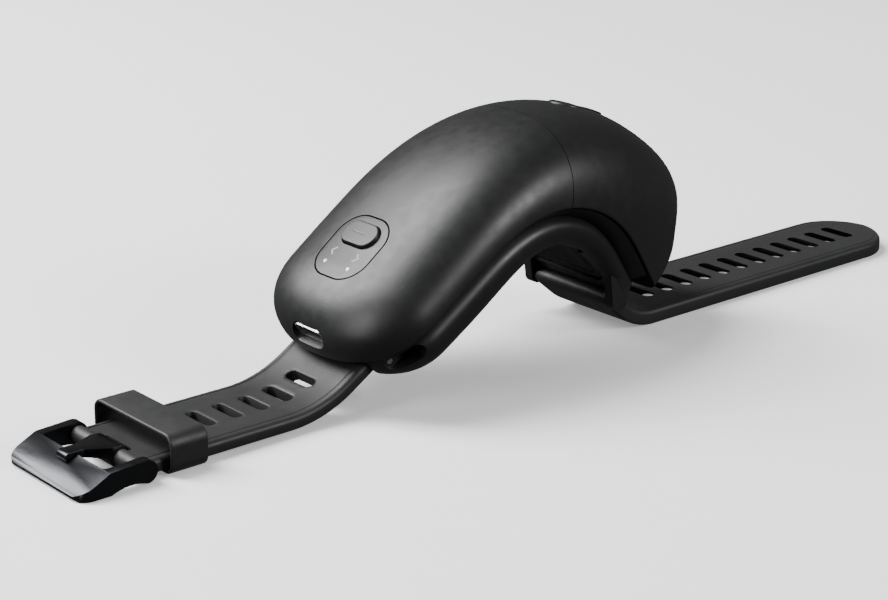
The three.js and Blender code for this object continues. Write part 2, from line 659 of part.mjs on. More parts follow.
function padRegion(by) {
  const [start, end] = [PAD_START * BODY_LENGTH - by, PAD_END * BODY_LENGTH + by];
  return slab(start, end, -PRISM_REACH, -3, PAD_HALF_WIDTH + by);
}

function lowerHousing() {
  const outer = tray(0, trayEnd);
  const cavity = tray(NOSE_BLOCK, trayEnd - WALL, TRAY_WALL);
  const places = screwPlaces();
  const posts = columns(places, POST_RADIUS, -PRISM_REACH, 0).intersect(outer);
  const lipInset = WALL + GAP;
  const underCover = dome(0, BODY_LENGTH, lipInset).add(slab(0, BODY_LENGTH, -2, 0.05));
  const lipOutline = (at) => domeSize(at, lipInset).half;
  const lipInside = (at) => traySize(at, LIP_WALL).half;
  const lip = collar(lipOutline, lipInset, trayEnd - WALL, -1, LIP_HEIGHT)
    .subtract(collar(lipInside, noseStep + LIP_WALL, trayEnd, -2, LIP_HEIGHT + 1)).intersect(underCover);
  const body = outer.subtract(cavity).add(posts).subtract(slab(0, BODY_LENGTH, -GAP, 1)).add(lip);
  const padSeat = padRegion(GAP).subtract(tray(0, trayEnd, PAD_SEAT));
  return body.subtract(rootRoom(nosePivot, -1, BUCKLE_SLOPE, BUCKLE_THICKNESS))
    .subtract(rootRoom(heelPivot, 1, TAIL_SLOPE, TAIL_THICKNESS))
    .add(heelLugs()).subtract(barHoles()).subtract(padSeat)
    .subtract(columns(places, SCREW_HEAD.radius + GAP, -PRISM_REACH, -HEAD_SEAT))
    .subtract(columns(places, SCREW_SHANK + PIVOT_GAP, -PRISM_REACH, 1));
}

function wristPad() {
  return tray(0, trayEnd, PAD_SUNK).intersect(padRegion(0)).subtract(tray(0, trayEnd, PAD_SEAT - GAP));
}

// ---------------------------------------------------------------- buttons, plate and lights
// Slice of the dome's skin near one place, between two insets, inside a prism.
function skinPiece(opening, by, outerInset, innerInset) {
  const reach = opening.length / 2 + ROW;
  const [start, end] = [opening.at - reach, opening.at + reach];
  const skin = dome(start, end, outerInset).subtract(dome(start - 1, end + 1, innerInset));
  return skin.intersect(drill(opening, by));
}

const guides = [-1, 1].map((side) => ({ at: GUIDE_AT, side: (side * GUIDE_SPACING) / 2 }));

function switchPlate() {
  return skinPiece(PLATE, 0, 0, PLATE_THICKNESS)
    .subtract(drill(POWER_BUTTON, GAP))
    .subtract(columns(guides, GUIDE_RADIUS + PIVOT_GAP, 2, PRISM_REACH));
}

function lightGuide(place) {
  const [start, end] = [place.at - ROW, place.at + ROW];
  const skin = dome(start, end, 0).subtract(dome(start - 1, end + 1, PLATE_THICKNESS + 0.6));
  return skin.intersect(column(place, GUIDE_RADIUS, 2, PRISM_REACH));
}

// Button cap that stands up to a rise, with a ledge under the plate or bezel round it.
function pressCap(opening, rise) {
  return skinPiece(opening, 0, -rise, FLANGE.to).add(skinPiece(opening, FLANGE.rim, FLANGE.from, FLANGE.to));
}

function menuBezel() {
  return skinPiece(MENU_BUTTON, BEZEL_RIM, -BEZEL_RISE, BEZEL_DEPTH).subtract(drill(MENU_BUTTON, GAP));
}

// ---------------------------------------------------------------- electronics
function domeTop(at) {
  return through(DOME_HEIGHT, at / BODY_LENGTH);
}

const boardTop = PORT_HEIGHT - PORT_THICKNESS / 2 - PIVOT_GAP;
const powerSwitchTop = domeTop(POWER_BUTTON.at) - FLANGE.to - PRESS_ROOM;
const buttonBoardTop = powerSwitchTop - SWITCH.height - GAP;

function mainBoard() {
  const { start, end, neck, shoulder, halfWidth, thickness } = BOARD;
  const shape = new THREE.Shape();
  shape.moveTo(start, -neck);
  shape.lineTo(shoulder, -neck);
  shape.lineTo(shoulder, -halfWidth);
  shape.lineTo(end, -halfWidth);
  shape.lineTo(end, halfWidth);
  shape.lineTo(shoulder, halfWidth);
  shape.lineTo(shoulder, neck);
  shape.lineTo(start, neck);
  const geometry = new THREE.ExtrudeGeometry(shape, { depth: thickness, bevelEnabled: false });
  return geometry.translate(0, 0, boardTop - thickness);
}

function chip(x, y, length, width, height, base = boardTop + PIVOT_GAP) {
  return box(x - length / 2, x + length / 2, y - width / 2, y + width / 2, base, base + height);
}

function shieldCan() {
  const { start, end, halfWidth, height, wall } = SHIELD;
  const base = boardTop + PIVOT_GAP;
  const outer = solidOf(box(start, end, -halfWidth, halfWidth, base, base + height));
  const side = halfWidth - wall;
  const inner = box(start + wall, end - wall, -side, side, base - 1, base + height - wall);
  return geometryOf(outer.subtract(solidOf(inner)));
}

function riser() {
  const { start, end, halfWidth, thickness } = BUTTON_BOARD;
  const [low, high] = [boardTop + GAP, buttonBoardTop - thickness - GAP];
  const side = halfWidth - RISER_WALL;
  const outer = solidOf(box(start, end, -halfWidth, halfWidth, low, high));
  const inner = box(start + RISER_WALL, end - RISER_WALL, -side, side, low - 1, high + 1);
  return geometryOf(outer.subtract(solidOf(inner)));
}

function usbShell() {
  const back = PORT_START + PORT_LENGTH;
  return portPrism(0, PORT_START, back).subtract(portPrism(-PORT_WALL, PORT_START - 1, back - PORT_WALL));
}

function usbSeal() {
  const { width, from, to } = SEAL;
  return portPrism(width, from, to).subtract(portPrism(PIVOT_GAP, from - 1, to + 1));
}

// Everything that sits square to the ramp shares the ramp's own frame.
function addRampElectronics() {
  const ramp = new THREE.Group();
  ramp.position.set(NOSE.x, 0, NOSE.z);
  ramp.rotation.y = -RAMP_SLOPE;
  object.add(ramp);
  const { start, end, halfWidth, height, top } = BATTERY;
  const foamLow = top + GAP;
  const button = BUTTON_BOARD;
  const onButtonBoard = buttonBoardTop + PIVOT_GAP;
  addMesh('main_board', mainBoard(), 'board', ramp);
  addMesh('battery', box(start, end, -halfWidth, halfWidth, top - height, top), 'cell', ramp);
  const foamHalf = halfWidth - FOAM_MARGIN;
  addMesh('battery_foam', box(start + FOAM_MARGIN, end - FOAM_MARGIN, -foamHalf, foamHalf,
    foamLow, foamLow + FOAM_THICKNESS), 'foam', ramp);
  addMesh('shield_can', shieldCan(), 'can', ramp);
  addMesh('processor', chip((SHIELD.start + SHIELD.end) / 2, 0, 7, 7, 0.9), 'chip', ramp);
  addMesh('motion_sensor', chip(CHIP.at, CHIP.side, CHIP.size, CHIP.size, CHIP.height), 'chip', ramp);
  addMesh('charge_controller', chip(CHIP.at, -CHIP.side, CHIP.size, CHIP.size, CHIP.height), 'chip', ramp);
  addMesh('antenna', chip(BOARD.end - 1.6, 0, 2, 7, 1.2), 'can', ramp);
  addMesh('button_riser', riser(), 'tray', ramp);
  addMesh('button_board', box(button.start, button.end, -button.halfWidth, button.halfWidth,
    buttonBoardTop - button.thickness, buttonBoardTop), 'board', ramp);
  addMesh('power_switch', chip(POWER_BUTTON.at, 0, SWITCH.length, SWITCH.width, SWITCH.height, onButtonBoard),
    'chip', ramp);
  guides.forEach(({ at, side }) => {
    const name = side < 0 ? 'right_indicator_led' : 'left_indicator_led';
    addMesh(name, chip(at, side, LED.length, LED.width, LED.height, onButtonBoard), 'lens', ramp);
  });
  const tongueBase = PORT_HEIGHT - 0.35;
  addMesh('usb_tongue', box(PORT_START + 1, PORT_START + PORT_LENGTH - PORT_WALL - PIVOT_GAP, -3.3, 3.3,
    tongueBase, tongueBase + 0.7), 'chip', ramp);
}

function addMenuElectronics() {
  const crown = new THREE.Group();
  crown.applyMatrix4(frameAt(MENU_BUTTON.at));
  object.add(crown);
  const top = domeTop(MENU_BUTTON.at) - FLANGE.to - MENU_PRESS_ROOM;
  const base = top - SWITCH.height;
  addMesh('menu_switch', chip(0, 0, SWITCH.length, SWITCH.width, SWITCH.height, base), 'chip', crown);
  addMesh('menu_board', box(-6, 6, -4.4, 4.4, base - GAP - 0.8, base - GAP), 'board', crown);
}

function trackingFlex() {
  const corners = [[1, 0], [1, 1], [-1, 1], [-1, 0]];
  return loft(spread(FLEX.start * BODY_LENGTH, FLEX.end * BODY_LENGTH, ROW).map((at) => {
    const low = domeTop(at) - FLEX.inset - FLEX.thickness;
    return corners.map(([side, up]) => onFrame(at, side * FLEX.halfWidth, low + up * FLEX.thickness));
  }));
}

function addTrackingLeds() {
  const from = FLEX.start * BODY_LENGTH + LED.length;
  const to = FLEX.end * BODY_LENGTH - LED.length;
  spread(from, to, (to - from) / (LED_ROWS - 1)).forEach((at, row) => {
    const base = domeTop(at) - FLEX.inset + PIVOT_GAP;
    [-LED_SIDE, LED_SIDE].forEach((side, i) => {
      const led = chip(0, side, LED.length, LED.width, LED.height, base).applyMatrix4(frameAt(at));
      addMesh(`tracking_led_${row * 2 + i + 1}`, led, 'lens');
    });
  });
}

function screw() {
  const { radius, height } = SCREW_HEAD;
  const under = -HEAD_SEAT - PIVOT_GAP;
  const tip = under + SCREW_LENGTH;
  const profile = [[0, under - height], [radius * 0.8, under - height], [radius, under - height * 0.6],
    [radius, under], [SCREW_SHANK, under], [SCREW_SHANK, tip - 0.6], [SCREW_SHANK * 0.5, tip], [0, tip]];
  const points = profile.map(([r, z]) => new THREE.Vector2(r, z));
  return new THREE.LatheGeometry(points, 12).rotateX(Math.PI / 2);
}

function addScrews() {
  screwPlaces().forEach((place, i) => {
    const mesh = addMesh(`housing_screw_${i + 1}`, screw(), 'steel');
    mesh.applyMatrix4(frameAt(place.at).multiply(new THREE.Matrix4().makeTranslation(0, place.side, 0)));
  });
}

// ---------------------------------------------------------------- keeper and buckle
function keeperLoop() {
  const innerHalf = STRAP_WIDTH / 2 + KEEPER_SIDE_ROOM;
  const outerHeight = KEEPER_INNER_HEIGHT + 2 * KEEPER_WALL;
  const turn = new THREE.Matrix4().makeBasis(
    new THREE.Vector3(0, 1, 0), new THREE.Vector3(0, 0, 1), new THREE.Vector3(1, 0, 0));
  const start = bucklePinX + KEEPER_FROM_PIN;
  const frame = turn.setPosition(start, 0, outerHeight / 2);
  const outer = roundedRect(2 * (innerHalf + KEEPER_WALL), outerHeight, KEEPER_CORNER);
  const inner = roundedRect(2 * innerHalf, KEEPER_INNER_HEIGHT, KEEPER_CORNER - KEEPER_WALL);
  return prism(outer, 0, KEEPER_LENGTH, frame).subtract(prism(inner, -1, KEEPER_LENGTH + 1, frame));
}

const buckleFront = bucklePinX - BUCKLE_REACH;
const plateBack = buckleFront + PLATE_DEPTH;

function buckleFrame() {
  const side = new THREE.Shape();
  side.moveTo(buckleFront + 0.6, 0);
  side.lineTo(plateBack, 0);
  side.quadraticCurveTo((plateBack + bucklePinX) / 2, 1.6, bucklePinX, pinHeight - ARM_RADIUS);
  side.absarc(bucklePinX, pinHeight, ARM_RADIUS, -Math.PI / 2, Math.PI / 2);
  side.lineTo(plateBack, BUCKLE_TOP);
  side.lineTo(buckleFront + 0.5, BUCKLE_FRONT);
  side.lineTo(buckleFront, BUCKLE_FRONT - 0.5);
  side.lineTo(buckleFront, 0.4);
  const half = BUCKLE_WIDTH / 2;
  const length = BUCKLE_REACH + 2 * BUCKLE_CORNER + ARM_RADIUS;
  const plan = roundedRect(length, BUCKLE_WIDTH, BUCKLE_CORNER);
  const planFrame = new THREE.Matrix4().makeTranslation(buckleFront + length / 2, 0, 0);
  const inner = half - BUCKLE_ARM;
  const window = box(plateBack, bucklePinX + ARM_RADIUS + 1, -inner, inner, -1, PRISM_REACH);
  const notchHalf = TANG_TIP / 2 + GAP;
  const notchFloor = BUCKLE_TOP - TANG_NOTCH;
  const notchEnd = plateBack - TANG_HOOK - GAP;
  const notch = box(notchEnd, plateBack + 1, -notchHalf, notchHalf, notchFloor, PRISM_REACH);
  const boreHalf = half - PIN_COVER;
  const bore = acrossCylinder(bucklePinX, pinHeight, PIN_RADIUS + PIVOT_GAP, -boreHalf, boreHalf);
  return across(side, -half, half).intersect(prism(plan, -1, PRISM_REACH, planFrame))
    .subtract(solidOf(window)).subtract(solidOf(notch)).subtract(solidOf(bore));
}

function buckleTongue() {
  const low = BUCKLE_TOP - TANG_NOTCH + PIVOT_GAP;
  const high = low + TANG_THICKNESS;
  const tipX = plateBack - TANG_HOOK;
  const side = new THREE.Shape();
  side.moveTo(bucklePinX, pinHeight + TANG_HUB);
  side.lineTo(plateBack + 0.6, high);
  side.lineTo(tipX + 1, high);
  side.quadraticCurveTo(tipX, high, tipX, low + 0.4);
  side.lineTo(tipX + 0.2, low);
  side.lineTo(plateBack, low);
  side.lineTo(bucklePinX - 1, pinHeight);
  side.lineTo(bucklePinX, pinHeight);
  const [base, tip] = [TANG_BASE / 2, TANG_TIP / 2];
  const plan = new THREE.Shape([
    new THREE.Vector2(bucklePinX + TANG_HUB + 1, -base), new THREE.Vector2(bucklePinX + TANG_HUB + 1, base),
    new THREE.Vector2(bucklePinX - 1.5, base), new THREE.Vector2(plateBack + 1.5, tip),
    new THREE.Vector2(tipX - 1, tip), new THREE.Vector2(tipX - 1, -tip),
    new THREE.Vector2(plateBack + 1.5, -tip), new THREE.Vector2(bucklePinX - 1.5, -base)]);
  const hub = acrossCylinder(bucklePinX, pinHeight, TANG_HUB, -base, base);
  const bore = acrossCylinder(bucklePinX, pinHeight, PIN_RADIUS + PIVOT_GAP, -base - 1, base + 1);
  return across(side, -base, base).add(solidOf(hub)).intersect(prism(plan, -1, PRISM_REACH))
    .subtract(solidOf(bore));
}

// ---------------------------------------------------------------- assembly
const solids = [
  ['front_top_cover', frontCover(), 'cover'],
  ['rear_top_cover', rearCover(), 'cover'],
  ['lower_housing', lowerHousing(), 'tray'],
  ['wrist_pad', wristPad(), 'silicone'],
  ['switch_plate', switchPlate(), 'button'],
  ['power_button', pressCap(POWER_BUTTON, POWER_BUTTON_RISE), 'button'],
  ['right_light_guide', lightGuide(guides[0]), 'lens'],
  ['left_light_guide', lightGuide(guides[1]), 'lens'],
  ['menu_bezel', menuBezel(), 'button'],
  ['menu_button', pressCap(MENU_BUTTON, MENU_BUTTON_RISE), 'button'],
  ['usb_shell', usbShell(), 'steel'],
  ['usb_seal', usbSeal(), 'silicone'],
  ['tracking_flex', trackingFlex(), 'foam'],
  ['tail_strap', tailStrap(), 'silicone'],
  ['buckle_strap', buckleStrap(), 'silicone'],
  ['keeper_loop', keeperLoop(), 'silicone'],
  ['buckle_frame', buckleFrame(), 'buckle'],
  ['buckle_tongue', buckleTongue(), 'buckle'],
];
solids.forEach(([name, solid, colour]) => addMesh(name, geometryOf(solid), colour));
addRampElectronics();
addMenuElectronics();
addTrackingLeds();
addScrews();

function springBar({ x, z }, reach) {
  const half = STRAP_WIDTH / 2 + GAP + reach;
  return acrossCylinder(x, z, SPRING_BAR_RADIUS, -half, half);
}

addMesh('nose_spring_bar', springBar(nosePivot, BAR_REACH.nose), 'steel');
addMesh('heel_spring_bar', springBar(heelPivot, BAR_REACH.heel), 'steel');
const pinHalf = BUCKLE_WIDTH / 2 - PIN_COVER - PIVOT_GAP;
addMesh('buckle_pin', acrossCylinder(bucklePinX, pinHeight, PIN_RADIUS, -pinHalf, pinHalf), 'steel');

// The middle of the whole object's length stands over the origin.
const reachX = new THREE.Box3().setFromObject(object);
object.position.x = -(reachX.min.x + reachX.max.x) / 2;

export default object;
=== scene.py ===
"""Wrist-worn VR motion controller lying open on its watch strap.

Shapes are worked out in millimetres in the body's own gauge frame and placed on the CAD frame.
"""
import json
from math import ceil, cos, pi, radians, sin

import bmesh
import bpy
import numpy as np
from mathutils import Matrix, Vector
from mathutils.bvhtree import BVHTree


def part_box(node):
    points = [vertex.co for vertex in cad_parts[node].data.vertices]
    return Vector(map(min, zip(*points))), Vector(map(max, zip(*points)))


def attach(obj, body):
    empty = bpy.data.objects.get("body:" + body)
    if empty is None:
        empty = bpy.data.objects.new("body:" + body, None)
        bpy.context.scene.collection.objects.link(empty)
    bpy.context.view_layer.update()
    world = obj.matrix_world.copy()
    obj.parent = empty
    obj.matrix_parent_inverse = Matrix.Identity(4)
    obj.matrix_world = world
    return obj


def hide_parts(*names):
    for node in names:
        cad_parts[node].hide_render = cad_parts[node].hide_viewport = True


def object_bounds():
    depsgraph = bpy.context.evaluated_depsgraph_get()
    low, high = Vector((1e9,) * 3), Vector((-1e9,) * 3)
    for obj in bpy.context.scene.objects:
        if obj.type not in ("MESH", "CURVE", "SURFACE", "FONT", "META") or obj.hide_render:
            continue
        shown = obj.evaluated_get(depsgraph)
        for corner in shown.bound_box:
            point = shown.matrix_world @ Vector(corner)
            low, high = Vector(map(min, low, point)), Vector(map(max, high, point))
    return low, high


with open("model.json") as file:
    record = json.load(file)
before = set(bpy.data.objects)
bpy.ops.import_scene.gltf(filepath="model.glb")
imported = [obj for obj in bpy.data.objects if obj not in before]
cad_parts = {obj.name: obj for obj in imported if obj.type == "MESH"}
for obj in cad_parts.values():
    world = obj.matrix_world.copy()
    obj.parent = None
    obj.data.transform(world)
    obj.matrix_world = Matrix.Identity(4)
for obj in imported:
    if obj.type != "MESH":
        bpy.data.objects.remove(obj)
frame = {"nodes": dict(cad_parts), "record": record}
cad_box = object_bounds()
MM = 0.001

# ------------------------------------------------------------------ sizes, as in the CAD
# Curves along the body are lists of pairs: a share of its length, then millimetres.
GAP = 0.3
PIVOT_GAP = 0.1
NOSE = (-73.0, 10.0)
RAMP_SLOPE = radians(34.5)
HEEL_SLOPE = radians(48)
RAMP_LENGTH = 27.5
CROWN_LENGTH = 55.0
BODY_LENGTH = RAMP_LENGTH + CROWN_LENGTH + 16.0
HALF_WIDTH = [(0, 21), (0.25, 21.2), (0.5, 20.8), (0.75, 19.2), (1, 12.4)]
DOME_HEIGHT = [(0, 10.5), (0.2, 10.9), (0.45, 12.6), (0.72, 21), (0.9, 22.6), (1, 13.5)]
TRAY_DEPTH = [(0, 9.6), (0.3, 10.8), (0.55, 9.2), (0.8, 7.6), (1, 8)]
BAND = [(0, 1.4), (0.3, 1.8), (0.75, 2.6), (1, 2.6)]
DOME_POWER = 2.35
TRAY_POWER = 2.25
TRAY_FLAT = 0.68
TRAY_BULGE = 0.35
TRAY_TUCK = radians(50)
NOSE_LENGTH = 15.7
NOSE_POWER = 2.35
HEEL_ROUND = 3.0
WALL = 1.6
TRAY_WALL = 2.0
STEP = [(0, 1.5), (0.45, 1.5), (0.75, 2.4), (1, 2.4)]
NOSE_STEP = STEP[0][1]
LIP_HEIGHT = 1.4
LIP_WALL = 1.5
RIM_ROUND = 0.28
SEAM_AT = 0.56 * BODY_LENGTH
SEAM_LINE = 0.14
TRAY_END = 0.93 * BODY_LENGTH
NOSE_BLOCK = 12.0
PAD = dict(start=0.4 * BODY_LENGTH, end=0.865 * BODY_LENGTH, half=11.5, sunk=0.4, seat=1.4, corner=3.2)
PLATE = dict(at=18.8, length=15.0, width=13.7, corner=5.2)
PLATE_THICKNESS = 1.3
POWER_BUTTON = dict(at=21.8, length=5.4, width=9.2, corner=2.6)
POWER_BUTTON_RISE = 0.75
GUIDE_RADIUS = 0.45
GUIDE_AT = 14.1
GUIDE_SPACING = 7.0
MENU_BUTTON = dict(at=SEAM_AT + 10.84, length=11.0, width=5.2, corner=2.6)
BEZEL_RIM = 0.9
BEZEL_RISE = 0.35
MENU_BUTTON_RISE = 0.25
BEZEL_DEPTH = 1.4
FLANGE = dict(rim=0.7, start=1.5, end=2.1)
PORT_HEIGHT = 4.1
PORT = dict(width=8.94, thickness=3.26, length=7.3)
STRAP_WIDTH = 22.0
TAIL = dict(flat=81.6, slope=radians(40), bend=14.0, middle=1.65, thick=3.3, side=1)
BUCKLE = dict(flat=33.0, slope=radians(32), bend=26.5, middle=2.15, thick=2.7, side=-1)
SLOT_PITCH = 6.0
SLOT_LENGTH = 8.0
SLOT_WIDTH = 2.3
TIP_TO_SLOT = 9.7
ROOT_TO_SLOT = 12.0
BUCKLE_SLOTS = 5
NOSE_PIN = (6.4, 3.7)
HEEL_PIN = (8.5, 8.8)
BAR_RADIUS = 0.75
LUG_RADIUS = 2.0
LUG_WALL = 2.2
LUG_TOP = 4.0
LUG_ROOT = (12.0, 2.0)
BAR_REACH = dict(nose=2.8, heel=1.4)
ACCESS = dict(length=7.0, width=3.0, ahead=2.0)
KEEPER = dict(wall=0.7, length=8.0, start=5.0, height=6.4, room=1.3, corner=2.4, edge=0.38)
PIN_RADIUS = 0.8
PIN_EYE = 1.65
PIN_COVER = 0.8
BUCKLE_WIDTH = 25.6
BUCKLE_ARM = 2.2
ARM_RADIUS = 2.2
BUCKLE_REACH = 14.0
PLATE_DEPTH = 6.5
BUCKLE_CORNER = 3.0
BUCKLE_TOP = 4.3
BUCKLE_FRONT = 1.4
TANG = dict(thickness=1.4, base=8.0, tip=3.2, notch=0.9, hub=2.1, hook=2.4)
SCREW_SEATS = [(19.0, 15.0), (SEAM_AT + 14.84, 12.4)]
SCREW_RADIUS = 1.8
ROOT_REACH = 26.0
ROOT_BEHIND = 0.5

# ------------------------------------------------------------------ finer sizes
# Points closer than the weld, in metres, become one.
WELD = 2e-6
STRAP_STEP = 0.8
# A round end closes at this share of its full width or thickness.
THINNEST = 0.02
SLOT_RIM = 0.28
TOP_EDGE = 1.05
LOW_EDGE = 0.5
# The groove beside the bead starts in from the rounded edge; its pairs are (further in, deep).
GROOVE_FROM_EDGE = 0.35
GROOVE = [(0, 0.02), (0.12, 0.14), (0.34, 0.14), (0.5, 0.02), (0.9, 0)]


# ------------------------------------------------------------------ curves and the parting line
def through(stations, at):
    """Smooth curve through (position, value) pairs: cubic pieces with central slopes."""
    x, y = np.array(stations, float).T
    last = len(x) - 1
    ends = [(max(i - 1, 0), min(i + 1, last)) for i in range(last + 1)]
    slope = np.array([(y[b] - y[a]) / (x[b] - x[a]) for a, b in ends])
    at = np.asarray(at, float)
    i = np.clip(np.searchsorted(x, at) - 1, 0, last - 1)
    span = x[i + 1] - x[i]
    t = (at - x[i]) / span
    rise = y[i] * (1 + 2 * t) * (1 - t) ** 2 + y[i + 1] * t * t * (3 - 2 * t)
    return rise + span * (slope[i] * t * (1 - t) ** 2 - slope[i + 1] * t * t * (1 - t))


def heading(at):
    """Slope of the parting line: up the ramp, over the crown, down the heel."""
    t = np.clip((np.asarray(at, float) - RAMP_LENGTH) / CROWN_LENGTH, 0, 1)
    return RAMP_SLOPE - (RAMP_SLOPE + HEEL_SLOPE) * t * t * (3 - 2 * t)


LINE_AT = np.linspace(0, BODY_LENGTH, 4001)
_middle = heading((LINE_AT[1:] + LINE_AT[:-1]) / 2)
_step = LINE_AT[1]
LINE_X = NOSE[0] + np.concatenate([[0], np.cumsum(np.cos(_middle) * _step)])
LINE_Z = NOSE[1] + np.concatenate([[0], np.cumsum(np.sin(_middle) * _step)])


def on_frame(at, side, up):
    """Gauge point on the parting line's frame: at along it, side across, up out of the dome."""
    at, side, up = np.broadcast_arrays(*(np.asarray(v, float) for v in (at, side, up)))
    turn = heading(at)
    over = np.minimum(at, 0) + np.maximum(at - BODY_LENGTH, 0)
    x = np.interp(at, LINE_AT, LINE_X) + over * np.cos(turn) - up * np.sin(turn)
    z = np.interp(at, LINE_AT, LINE_Z) + over * np.sin(turn) + up * np.cos(turn)
    return np.stack([x, side, z], -1)


def frame_at(at):
    """Matrix of the frame that on_frame uses, at one place."""
    turn = float(heading(at))
    origin = on_frame(at, 0, 0)
    return Matrix(((cos(turn), 0, -sin(turn), origin[0]), (0, 1, 0, 0),
                   (sin(turn), 0, cos(turn), origin[2]), (0, 0, 0, 1)))


NOSE_PIVOT = on_frame(NOSE_PIN[0], 0, -NOSE_PIN[1])
HEEL_PIVOT = on_frame(BODY_LENGTH - HEEL_PIN[0], 0, -HEEL_PIN[1])
_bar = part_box("nose_spring_bar")
SHIFT = (_bar[0][0] + _bar[1][0]) / 2 / MM - NOSE_PIVOT[0]


# ------------------------------------------------------------------ body sections
def nose_closing(at, inset):
    """Share of its full size that a section has, from nothing at the nose."""
    t = np.clip((at - inset) / (NOSE_LENGTH - inset), 0, 1)
    return (1 - (1 - t) ** NOSE_POWER) ** (1 / NOSE_POWER)


def heel_closing(at):
    """How much a section loses on each side as the heel rounds off."""
    t = np.clip((at - BODY_LENGTH + HEEL_ROUND) / HEEL_ROUND, 0, 1)
    return HEEL_ROUND * (1 - np.sqrt(1 - t * t))


def dome_size(at, inset=0.0):
    """Half width and height of the covers."""
    nose, heel = nose_closing(at, inset), heel_closing(at)
    share = at / BODY_LENGTH
    half = (through(HALF_WIDTH, share) - inset) * nose - heel
    return half, (through(DOME_HEIGHT, share) - inset) * nose - heel


def tray_size(at, inset=0.0):
    """Half width and depth of the lower housing."""
    nose = nose_closing(at, NOSE_STEP + inset)
    share = at / BODY_LENGTH
    half = (through(HALF_WIDTH, share) - through(STEP, share) - inset) * nose
    return half, (through(TRAY_DEPTH, share) - inset) * nose


def bend(value, power):
    """Sine or cosine for a round whose power is two for an ellipse and more for a squarer one."""
    return np.sign(value) * np.abs(value) ** (2 / power)


def body_rows(start, end, inset, step=0.7, steps=26):
    """Section places: closer together where the nose closes."""
    rows = []
    if start <= inset:
        turn = np.linspace(0.03, pi / 2, steps)
        rows = list(inset + (NOSE_LENGTH - inset) * (1 - np.cos(turn)))
        start = NOSE_LENGTH + step
    return np.array(rows + list(np.linspace(start, end, max(2, ceil((end - start) / step)))))


# ------------------------------------------------------------------ meshes
def new_piece(name, points, faces, sharp=35.0):
    """Object from gauge points in millimetres, smooth except across sharp edges."""
    mesh = bpy.data.meshes.new(name)
    points = (np.asarray(points, float) + (SHIFT, 0, 0)) * MM
    mesh.from_pydata(points.tolist(), [], [list(map(int, f)) for f in faces])
    build = bmesh.new()
    build.from_mesh(mesh)
    bmesh.ops.remove_doubles(build, verts=build.verts, dist=WELD)
    bmesh.ops.recalc_face_normals(build, faces=build.faces)
    build.to_mesh(mesh)
    build.free()
    piece = bpy.data.objects.new(name, mesh)
    bpy.context.scene.collection.objects.link(piece)
    soften(piece, sharp)
    return piece


def soften(piece, sharp=35.0):
    """Smooth shading, except across edges sharper than the angle."""
    piece.data.shade_smooth()
    piece.data.set_sharp_from_angle(angle=radians(sharp))


def loft_faces(rows, count):
    """Quads between rows of points that each close on themselves."""
    faces = []
    for i in range(rows - 1):
        for j in range(count):
            k = (j + 1) % count
            faces.append((i * count + j, i * count + k, (i + 1) * count + k, (i + 1) * count + j))
    return faces


def loft(name, loops):
    """Solid through rows of points, with a cap on the first row and on the last."""
    loops = np.asarray(loops)
    rows, count = loops.shape[:2]
    faces = loft_faces(rows, count)
    faces += [tuple(range(count)), tuple(range((rows - 1) * count, rows * count))]
    return new_piece(name, loops.reshape(-1, 3), faces)


def torus(name, loops):
    """Rows of points closed both ways."""
    loops = np.asarray(loops)
    rows, count = loops.shape[:2]
    faces = loft_faces(rows, count)
    last = (rows - 1) * count
    faces += [(last + j, last + (j + 1) % count, (j + 1) % count, j) for j in range(count)]
    return new_piece(name, loops.reshape(-1, 3), faces)


def combine(piece, others, operation):
    """Piece with a boolean applied for each of the others, which are used up."""
    for other in others:
        modifier = piece.modifiers.new("shape", "BOOLEAN")
        modifier.operation = operation
        modifier.solver = "EXACT"
        modifier.object = other
    bpy.context.view_layer.update()
    shaped = piece.evaluated_get(bpy.context.evaluated_depsgraph_get())
    result = bpy.data.meshes.new_from_object(shaped)
    piece.modifiers.clear()
    piece.data = result
    for other in others:
        bpy.data.objects.remove(other)
    soften(piece)
    return piece


def carve(piece, *cutters):
    return combine(piece, cutters, "DIFFERENCE")


def rounded(length, width, corner, arc=12, straight=6):
    """Points round a rounded rectangle, the same number for every size."""
    x, y = length / 2, width / 2
    least = 1e-4
    r = max(min(corner, x - least, y - least), least)
    points = []
    for cx, cy, start in ((x - r, y - r, 0), (r - x, y - r, 90), (r - x, r - y, 180), (x - r, r - y, 270)):
        for turn in np.linspace(radians(start), radians(start + 90), arc):
            points.append((cx + r * cos(turn), cy + r * sin(turn)))
    out = []
    for i, point in enumerate(points):
        out.append(point)
        if i % arc == arc - 1:
            after = points[(i + 1) % len(points)]
            for t in np.linspace(0, 1, straight + 2)[1:-1]:
                out.append(tuple(a + (b - a) * t for a, b in zip(point, after)))
    return np.array(out)


def grown(opening, by):
    """Outline of an opening or part, offset outwards."""
    return rounded(opening["length"] + 2 * by, opening["width"] + 2 * by, opening["corner"] + by)


def placed(matrix, points):
    """Points moved from a frame's own axes to the gauge."""
    points = np.asarray(points, float)
    m = np.array(matrix)
    return points @ m[:3, :3].T + m[:3, 3]


def stack(name, matrix, rings):
    """Closed solid from (outline points, heights) rings, first and last closed with a fan."""
    loops = [placed(matrix, np.column_stack([o, np.broadcast_to(h, len(o))])) for o, h in rings]
    count = len(loops[0])
    faces = loft_faces(len(loops), count)
    points = np.concatenate(loops)
    ends = [(loops[0], 0), (loops[-1], (len(loops) - 1) * count)]
    for loop, start in ends:
        hub = len(points)
        points = np.vstack([points, loop.mean(0)])
        faces += [(hub, start + j, start + (j + 1) % count) for j in range(count)]
    return new_piece(name, points, faces)


def prism(name, matrix, outline, low, high):
    return stack(name, matrix, [(outline, low), (outline, high)])


